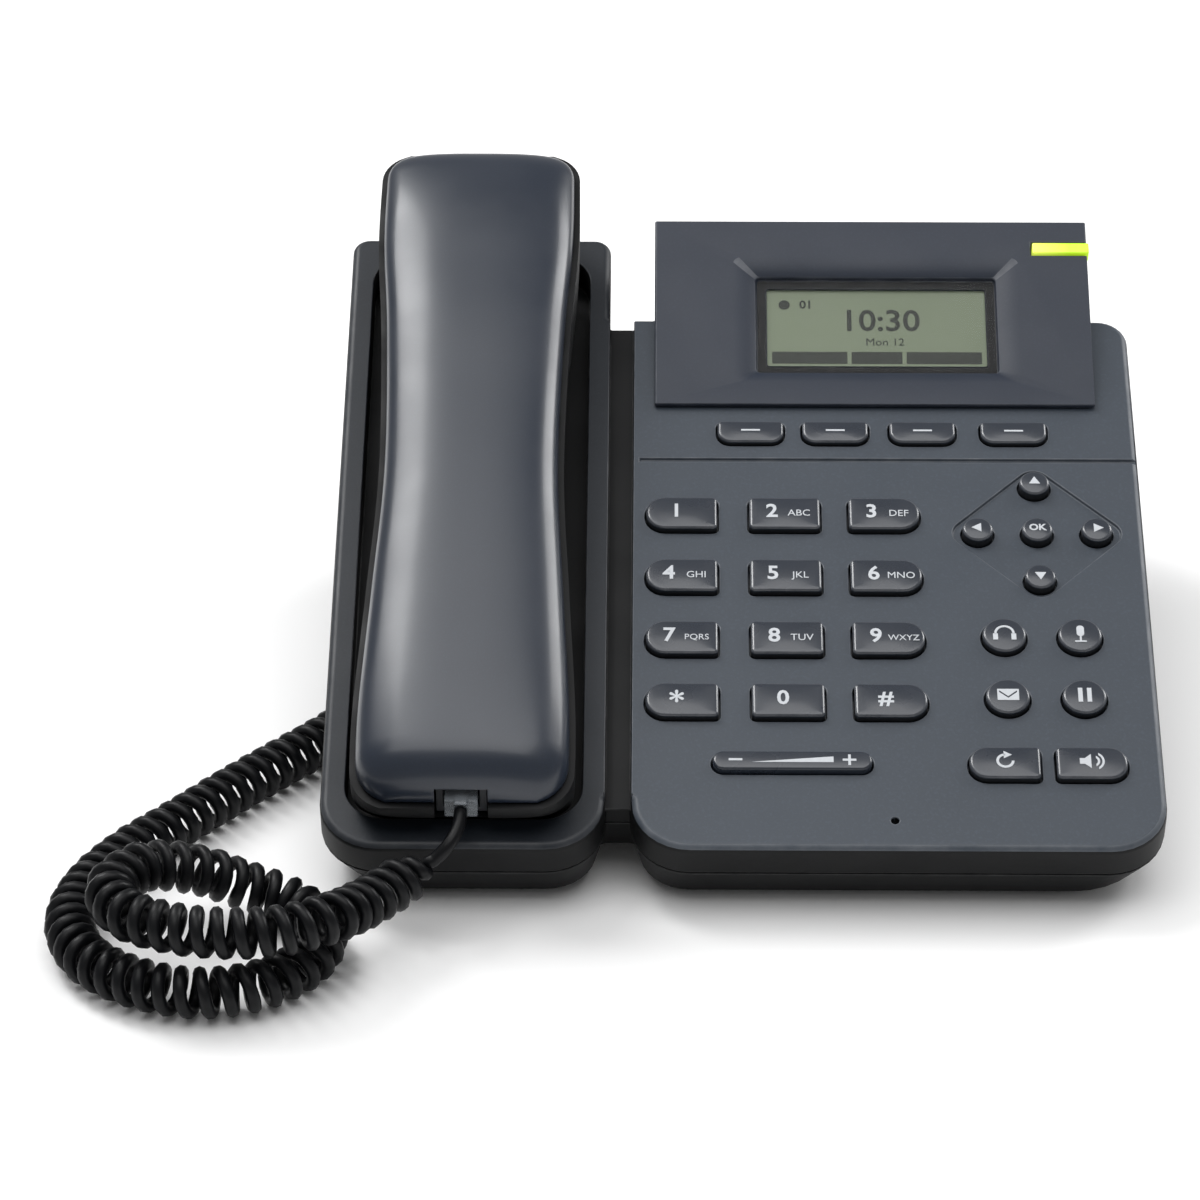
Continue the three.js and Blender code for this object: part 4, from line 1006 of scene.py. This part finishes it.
def legend(key, top):
    x, y = key["at"]
    name = key["name"]
    ink = keyLook["inkDepth"]
    low, high = top - ink, top
    if name.startswith("key_"):
        sign = {"star": "*", "pound": "#"}.get(name[4:], name[4:])
        lift = -1.1 if sign == "*" else 0
        size = 7.6 if sign == "*" else 5.6
        aside = 2.9 if sign in dialLetters else 1.2
        parts = [lettering(sign, size, x - aside, y + lift, high, ink / 2, bold=0.12)]
        if sign in dialLetters:
            letters = dialLetters[sign]
            parts.append(lettering(letters, 2.7 if len(letters) == 3 else 2.35, x + 3.3, y - 0.5, high,
                                   ink / 2))
        return together(*parts)
    if name.startswith("nav_"):
        turn = {"up": 90, "left": 180, "right": 0, "down": 270}.get(name[4:])
        if turn is None:
            return lettering("OK", 2.6, x, y, high, ink / 2, bold=0.08)
        return prism(arrow(x, y, math.radians(turn), 1.5), low, high)
    if name.startswith("soft_key"):
        return block(x - 2.2, x + 2.2, y - 0.25, y + 0.25, low, high)
    if name == "headset_key":
        band = carve(prism(circleOutline(x, y, 2.3), low, high),
                     prism(circleOutline(x, y, 1.75), low - 1, high + 1))
        band = carve(band, block(x - 3, x + 3, y - 3, y - 0.2, low - 1, high + 1))
        return together(band, block(x - 2.6, x - 1.5, y - 1.9, y - 0.1, low, high),
                        block(x + 1.5, x + 2.6, y - 1.9, y - 0.1, low, high))
    if name == "mute_key":
        capsule = prism(roundedOutline(rectangle(x - 0.85, x + 0.85, y - 0.8, y + 2.3, 0.8), 5), low, high)
        return together(capsule, block(x - 0.22, x + 0.22, y - 2.1, y - 0.8, low, high),
                        block(x - 1.3, x + 1.3, y - 2.5, y - 2.1, low, high))
    if name == "message_key":
        envelope = prism([(x - 2.4, y - 1.6), (x + 2.4, y - 1.6), (x + 2.4, y + 1.6), (x - 2.4, y + 1.6)],
                         low, high)
        fold = prism([(x - 2.0, y + 1.2), (x, y - 0.5), (x + 2.0, y + 1.2), (x + 2.0, y + 0.7), (x, y - 1.0),
                      (x - 2.0, y + 0.7)], low - 1, high + 1)
        return carve(envelope, fold)
    if name == "hold_key":
        bars = [block(x + side - 0.5, x + side + 0.5, y - 2, y + 2, low, high) for side in (-1, 1)]
        return together(*bars)
    if name == "redial_key":
        ring = carve(prism(circleOutline(x, y, 2.0), low, high),
                     prism(circleOutline(x, y, 1.4), low - 1, high + 1))
        ring = carve(ring, block(x, x + 3, y, y + 3, low - 1, high + 1))
        return together(ring, prism(arrow(x + 0.3, y + 1.7, 0, 1.2), low, high))
    cone = prism([(x - 2.8, y - 0.8), (x - 1.7, y - 0.8), (x - 0.3, y - 2.0), (x - 0.3, y + 2.0),
                  (x - 1.7, y + 0.8),
                  (x - 2.8, y + 0.8)], low, high)
    waves = []
    for radius in (1.4, 2.4):
        arc = carve(prism(circleOutline(x, y, radius + 0.25), low, high),
                    prism(circleOutline(x, y, radius - 0.25), low - 1, high + 1))
        waves.append(carve(arc, block(x - 4, x + radius * 0.55, y - 4, y + 4, low - 1, high + 1)))
    return together(cone, *waves)


def phoneKeys():
    for key in keys:
        title = "".join(part.capitalize() for part in key["name"].split("_"))
        cap = addPiece(title[0].lower() + title[1:], keyCap(key), faceFrame, "key_plastic", key["name"],
                       [key["name"]],
                       sharpAt=50, weighted=False)
        cap.data.materials.append(keyWallShade)
        addPiece("legend" + title, legend(key, key["proud"] + keyLook["print"]), faceFrame, None,
                 key["name"], finish=whiteInk,
                 weighted=False)
    x, y = volume["at"]
    proud, edge = volume["proud"], keyLook["rockerEdge"]
    sections = [level(keyOutline(volume, 0), keyFloor - 0.2)]
    for i in range(6):
        turn = math.pi / 2 * i / 5
        outline = keyOutline(volume, -edge * (1 - math.cos(turn)))
        sections.append(level(outline, proud - edge * (1 - math.sin(turn))))
    lip = block(x - 5, x + 5, y - 3.7, y + 3.7, keyFloor - 0.2, keyFloor + 1.0)
    addPiece("volumeKey", carve(stack(sections), lip, "UNION"), faceFrame, "key_plastic", "volume_key",
             ["volume_key"],
             sharpAt=50, weighted=False)
    high = proud + keyLook["print"]
    low = high - 0.12
    marks = [
        prism([(x - 9, y - 0.7), (x + 9, y - 0.7), (x + 9, y + 0.9)], low, high),
        block(x - 14, x - 11, y - 0.3, y + 0.3, low, high),
        block(x + 11, x + 14, y - 0.3, y + 0.3, low, high),
        block(x + 12.2, x + 12.8, y - 1.5, y - 0.3, low, high),
        block(x + 12.2, x + 12.8, y + 0.3, y + 1.5, low, high),
    ]
    addPiece("legendVolume", together(*marks), faceFrame, None, "volume_key", finish=whiteInk, weighted=False)


phoneKeys()
print("keys ready")


# handset
handset = {  # side profiles as (along the handset, height), millimetres
    "back": [(0, 19), (20, 22), (60, 24.5), (110, 27.5), (150, 30), (178, 30.5), (200, 26)],
    "seam": [(0, 8), (30, 12), (80, 16), (120, 19), (160, 21.5), (200, 20.5)],
    "side": [(0, 24), (25, 24.5), (60, 22.7), (95, 21), (135, 21.9), (165, 23.6), (200, 23.4)],
    "front": 4, "rear": 195, "gripBottom": 8, "headLength": 36, "endRound": 9, "rim": 1.3, "shy": 0.25,
    "wall": 1.8,
    "socketHeight": 8, "socket": (11, 13, 9), "rings": 72, "sides": 48,
}
headBottom = cradleFloor + cradle["padHeight"] + base["gap"]
headFront, headRear = cradle["front"] + 5, cradle["rear"] - 4


def profile(points, y):  # height of the smooth curve through the points
    def at(t):
        place = t * (len(points) - 1)
        i = min(int(place), len(points) - 2)
        u = place - i
        p = [points[max(0, min(len(points) - 1, k))] for k in (i - 1, i, i + 1, i + 2)]
        if i == 0:
            p[0] = points[0]
        if i == len(points) - 2:
            p[3] = points[-1]
        return [0.5 * (2 * b + (c - a) * u + (2 * a - 5 * b + 4 * c - d) * u * u
                       + (3 * b - a - 3 * c + d) * u ** 3) for a, b, c, d in zip(*p)]
    low, high = 0.0, 1.0
    for _ in range(26):
        middle = (low + high) / 2
        low, high = (middle, high) if at(middle)[0] < y else (low, middle)
    return at(low)[1]


def ease(t):
    s = min(max(t, 0), 1)
    return s * s * (3 - 2 * s)


def handsetHalf(y, inset, above, sides):  # one half of the handset's section, from its right seam to its left
    fromEnd = min(y - handset["front"] - inset, handset["rear"] - inset - y)
    isOpen = math.sqrt(max(1 - (1 - min(fromEnd / handset["endRound"], 1)) ** 2, 0.04))
    seam = profile(handset["seam"], y)
    half = profile(handset["side"], y) - inset - (1 - isOpen) * 8
    rise = handset["gripBottom"] - headBottom
    low = headBottom + rise * min(ease((y - headFront - handset["headLength"]) / 14),
                                  ease((headRear - handset["headLength"] - y) / 14))
    low = max(low, headBottom + (seam - 6 - headBottom) * ease((y - cradle["rear"] + 7) / 12),
              headBottom + (1.2 - headBottom) * ease((headFront - y) / 4))
    up = max((profile(handset["back"], y) - seam) * (0.25 + 0.75 * isOpen) - inset - handset["shy"], 0.6)
    down = max((seam - low) * (0.3 + 0.7 * isOpen) - inset, 0.6)
    points = []
    for k in range(sides + 1):
        turn = math.pi * k / sides
        power = 2 / (2.8 if above else 4.5)
        cosine, sine = math.cos(turn), max(math.sin(turn), 0)
        x = half * math.copysign(abs(cosine) ** power, cosine)
        z = (up if above else -down) * sine ** power
        points.append((cradle["centre"] + x, y, seam + z))
    return points


def handsetSkin(above, inset, lift):  # an open half shell with closed ends
    first, last = handset["front"] + inset, handset["rear"] - inset
    bm = bmesh.new()
    rings = []
    for i in range(handset["rings"] + 1):
        share = (1 - math.cos(math.pi * i / handset["rings"])) / 2
        y = first + (last - first) * (share * 0.8 + 0.2 * i / handset["rings"])
        ring = [(px, py, pz + lift) for px, py, pz in handsetHalf(y, inset, above, handset["sides"])]
        chain = [bm.verts.new(p) for p in ring]
        for a, b in zip(chain, chain[1:]):
            bm.edges.new((a, b))
        rings.append(chain)
    for a, b in zip(rings, rings[1:]):
        edges = [bm.edges.get(pair) for ring in (a, b) for pair in zip(ring, ring[1:])]
        bmesh.ops.bridge_loops(bm, edges=edges)
    for ring in (rings[0], rings[-1]):
        bm.faces.new(ring)
    bmesh.ops.recalc_face_normals(bm, faces=bm.faces)
    upward = sum(face.normal.z * face.calc_area() for face in bm.faces)
    inwards = upward < 0 if above else upward > 0
    if inwards:
        bmesh.ops.reverse_faces(bm, faces=bm.faces)
    return bm


def hollowed(bm, thickness):  # a wall inside the skin, as the moulding has
    skin = asObject(bm, "skin")
    wall = skin.modifiers.new("wall", "SOLIDIFY")
    wall.thickness, wall.offset, wall.use_rim, wall.use_even_offset = thickness, -1, True, False
    result = evaluatedMesh(skin)
    discard(skin)
    return result


def roundedRim(bm, width, segments, sharper=50):  # as soften, with nothing merged first
    worn = bm.faces.layers.float.get("worn") or bm.faces.layers.float.new("worn")
    sharp = [e for e in bm.edges if len(e.link_faces) == 2 and e.calc_face_angle(0) > math.radians(sharper)]
    made = bmesh.ops.bevel(
        bm, geom=sharp, offset=width, offset_type="OFFSET", segments=segments, profile=0.5, affect="EDGES",
        clamp_overlap=True, material=-1)
    for face in made["faces"]:
        face[worn] = 0.6
    return bm


def handsetShells():
    x, low, (w, l, h) = cradle["centre"], handset["socketHeight"], handset["socket"]
    gap, front = base["gap"], handset["front"] + 3.2

    def socketNotch():
        return block(
            x - w / 2 - gap, x + w / 2 + gap, front - 12, front + l + gap, low - h / 2 - gap,
            low + h / 2 + gap)

    back = hollowed(handsetSkin(True, handset["rim"], 0.15), handset["wall"])
    back = carve(back, socketNotch())
    addPiece("handsetBack", roundedRim(back, 0.3, 2), faceFrame, "satin_plastic", "handset",
             ["handset_back_shell"],
             sharpAt=45, weighted=False)
    under = hollowed(handsetSkin(False, 0, -0.15), handset["rim"] + handset["wall"])
    holes = [socketNotch()]
    ear = headRear - handset["headLength"] / 2
    for ring, count in ((0, 1), (4, 6), (8, 12)):
        for i in range(count):
            turn = 2 * math.pi * i / count
            holes.append(prism(circleOutline(x + ring * math.cos(turn), ear + ring * math.sin(turn), 0.8, 12),
                               headBottom - 1, headBottom + 4))
    for dx in (-2.4, 0, 2.4):
        holes.append(prism(circleOutline(x + dx, headFront + 22, 0.7, 12), headBottom - 1, headBottom + 4))
    under = carve(under, together(*holes))
    addPiece("handsetFace", roundedRim(under, 0.35, 3), faceFrame, "black_plastic", "handset",
             ["handset_face_shell"],
             sharpAt=45, weighted=False)


handsetShells()
print("handset ready")


# sockets, feet, stand and what is inside
def contactRow(x, count, pitch, y0, y1, z0, z1, width=0.5):
    places = [x + (i - (count - 1) / 2) * pitch for i in range(count)]
    return [block(at - width / 2, at + width / 2, y0, y1, z0, z1) for at in places]


def networkSockets():
    addPiece("networkSockets", refinedCopy("ethernet_jack", 0.3, 2), deskFrame, "steel",
             stands=["ethernet_jack"])
    left, width, _, high = rearSockets["network"]
    middle, mouth = boardBottom - base["gap"] - high / 2, socketMouth
    liners, pins = [], []
    for share in (0.25, 0.75):
        x = left + width * share
        tube = block(x - 5.85, x + 5.85, mouth - 14.8, mouth - 0.5, middle - 3.75, middle + 3.75)
        liners.append(carve(tube,
                            block(x - 5.3, x + 5.3, mouth - 13.8, mouth + 1, middle - 3.2, middle + 3.2)))
        pins += contactRow(x, 8, 1.02, mouth - 13, mouth - 3, middle + 2.2, middle + 2.6)
    addPiece("networkSocketLiners", soften(together(*liners), 0.15, 1), faceFrame, "jack_plastic")
    addPiece("networkContacts", together(*pins), faceFrame, "steel", finish=goldContact)


def smallParts():
    networkSockets()
    simple = {  # node: (piece, slot, edge radius)
        "power_jack": ("powerSocket", "jack_plastic", 0.3),
        "handset_headset_jack": ("cordSockets", "jack_plastic", 0.3),
        "stand": ("deskStand", "black_plastic", 0.5),
        "front_foot_left": ("frontFootLeft", "foot_rubber", 0.5),
        "front_foot_right": ("frontFootRight", "foot_rubber", 0.5),
        "stand_foot_left": ("standFootLeft", "foot_rubber", 0.4),
        "stand_foot_right": ("standFootRight", "foot_rubber", 0.4), "main_board": ("mainBoard", "board", 0.1),
        "keypad_mat": ("keypadMat", "silicone", 0.3),
        "speakerphone_mic": ("speakerphoneMic", "speaker_metal", 0.3),
        "loudspeaker": ("loudspeaker", "speaker_metal", 0.5),
        "hook_switch": ("hookSwitch", "jack_plastic", 0.3),
        "hook_plunger": ("hookPlunger", "black_plastic", 0.5),
        "earpiece_receiver": ("earpieceReceiver", "speaker_metal", 0.4),
        "handset_mic": ("handsetMic", "speaker_metal", 0.3),
        "handset_weight": ("handsetWeight", "weight_iron", 0.4),
        "handset_socket": ("handsetSocket", "jack_plastic", 0.25),
    }
    bodyOf = {node: name for name, members in frame["record"]["behaviour"]["bodies"].items()
              for node in members}
    for node, (name, slotName, width) in simple.items():
        addPiece(name, refinedCopy(node, width, 3), deskFrame, slotName, bodyOf[node], [node])


smallParts()
print("small parts ready")


# studio
studio = {  # lights: place, aim, width, height, watts
    "floor": 6.0, "world": 0.31,
    "lights": {
        "overhead": ((-0.05, -0.22, 1.5), (0, 0, 0), 1.5, 1.3, 14.5),
        "leftSoftbox": ((-0.62, 0.5, 0.98), (-0.06, 0, 0.06), 0.34, 0.7, 8),
        "rightSoftbox": ((0.85, 0.62, 0.62), (-0.06, 0, 0.06), 0.36, 0.7, 6),
    },
}


def makeStudio():
    bm = bmesh.new()
    bmesh.ops.create_grid(bm, x_segments=2, y_segments=2, size=studio["floor"])
    floor = asObject(bm, "studioFloor")
    n = Nodes("paleFloor")
    n.put(Base_Color=n.blend(n.noise(3, 2), (0.93, 0.93, 0.93, 1), (0.96, 0.96, 0.96, 1)), Roughness=0.8,
          Specular_IOR_Level=0.2)
    floor.data.materials.append(n.material)
    world = bpy.data.worlds.new("paleRoom")
    world.use_nodes = True
    world.node_tree.nodes["Background"].inputs["Color"].default_value = (1, 1, 1, 1)
    world.node_tree.nodes["Background"].inputs["Strength"].default_value = studio["world"]
    scene.world = world
    for name, (place, aim, width, height, watts) in studio["lights"].items():
        data = bpy.data.lights.new(name, "AREA")
        data.shape, data.size, data.size_y, data.energy = "RECTANGLE", width, height, watts
        light = bpy.data.objects.new(name, data)
        light.location = place
        light.rotation_euler = (Vector(aim) - Vector(place)).to_track_quat("-Z", "Y").to_euler()
        scene.collection.objects.link(light)
    scene.view_settings.view_transform = "Standard"


makeStudio()
print("studio ready")

bpy.context.view_layer.update()
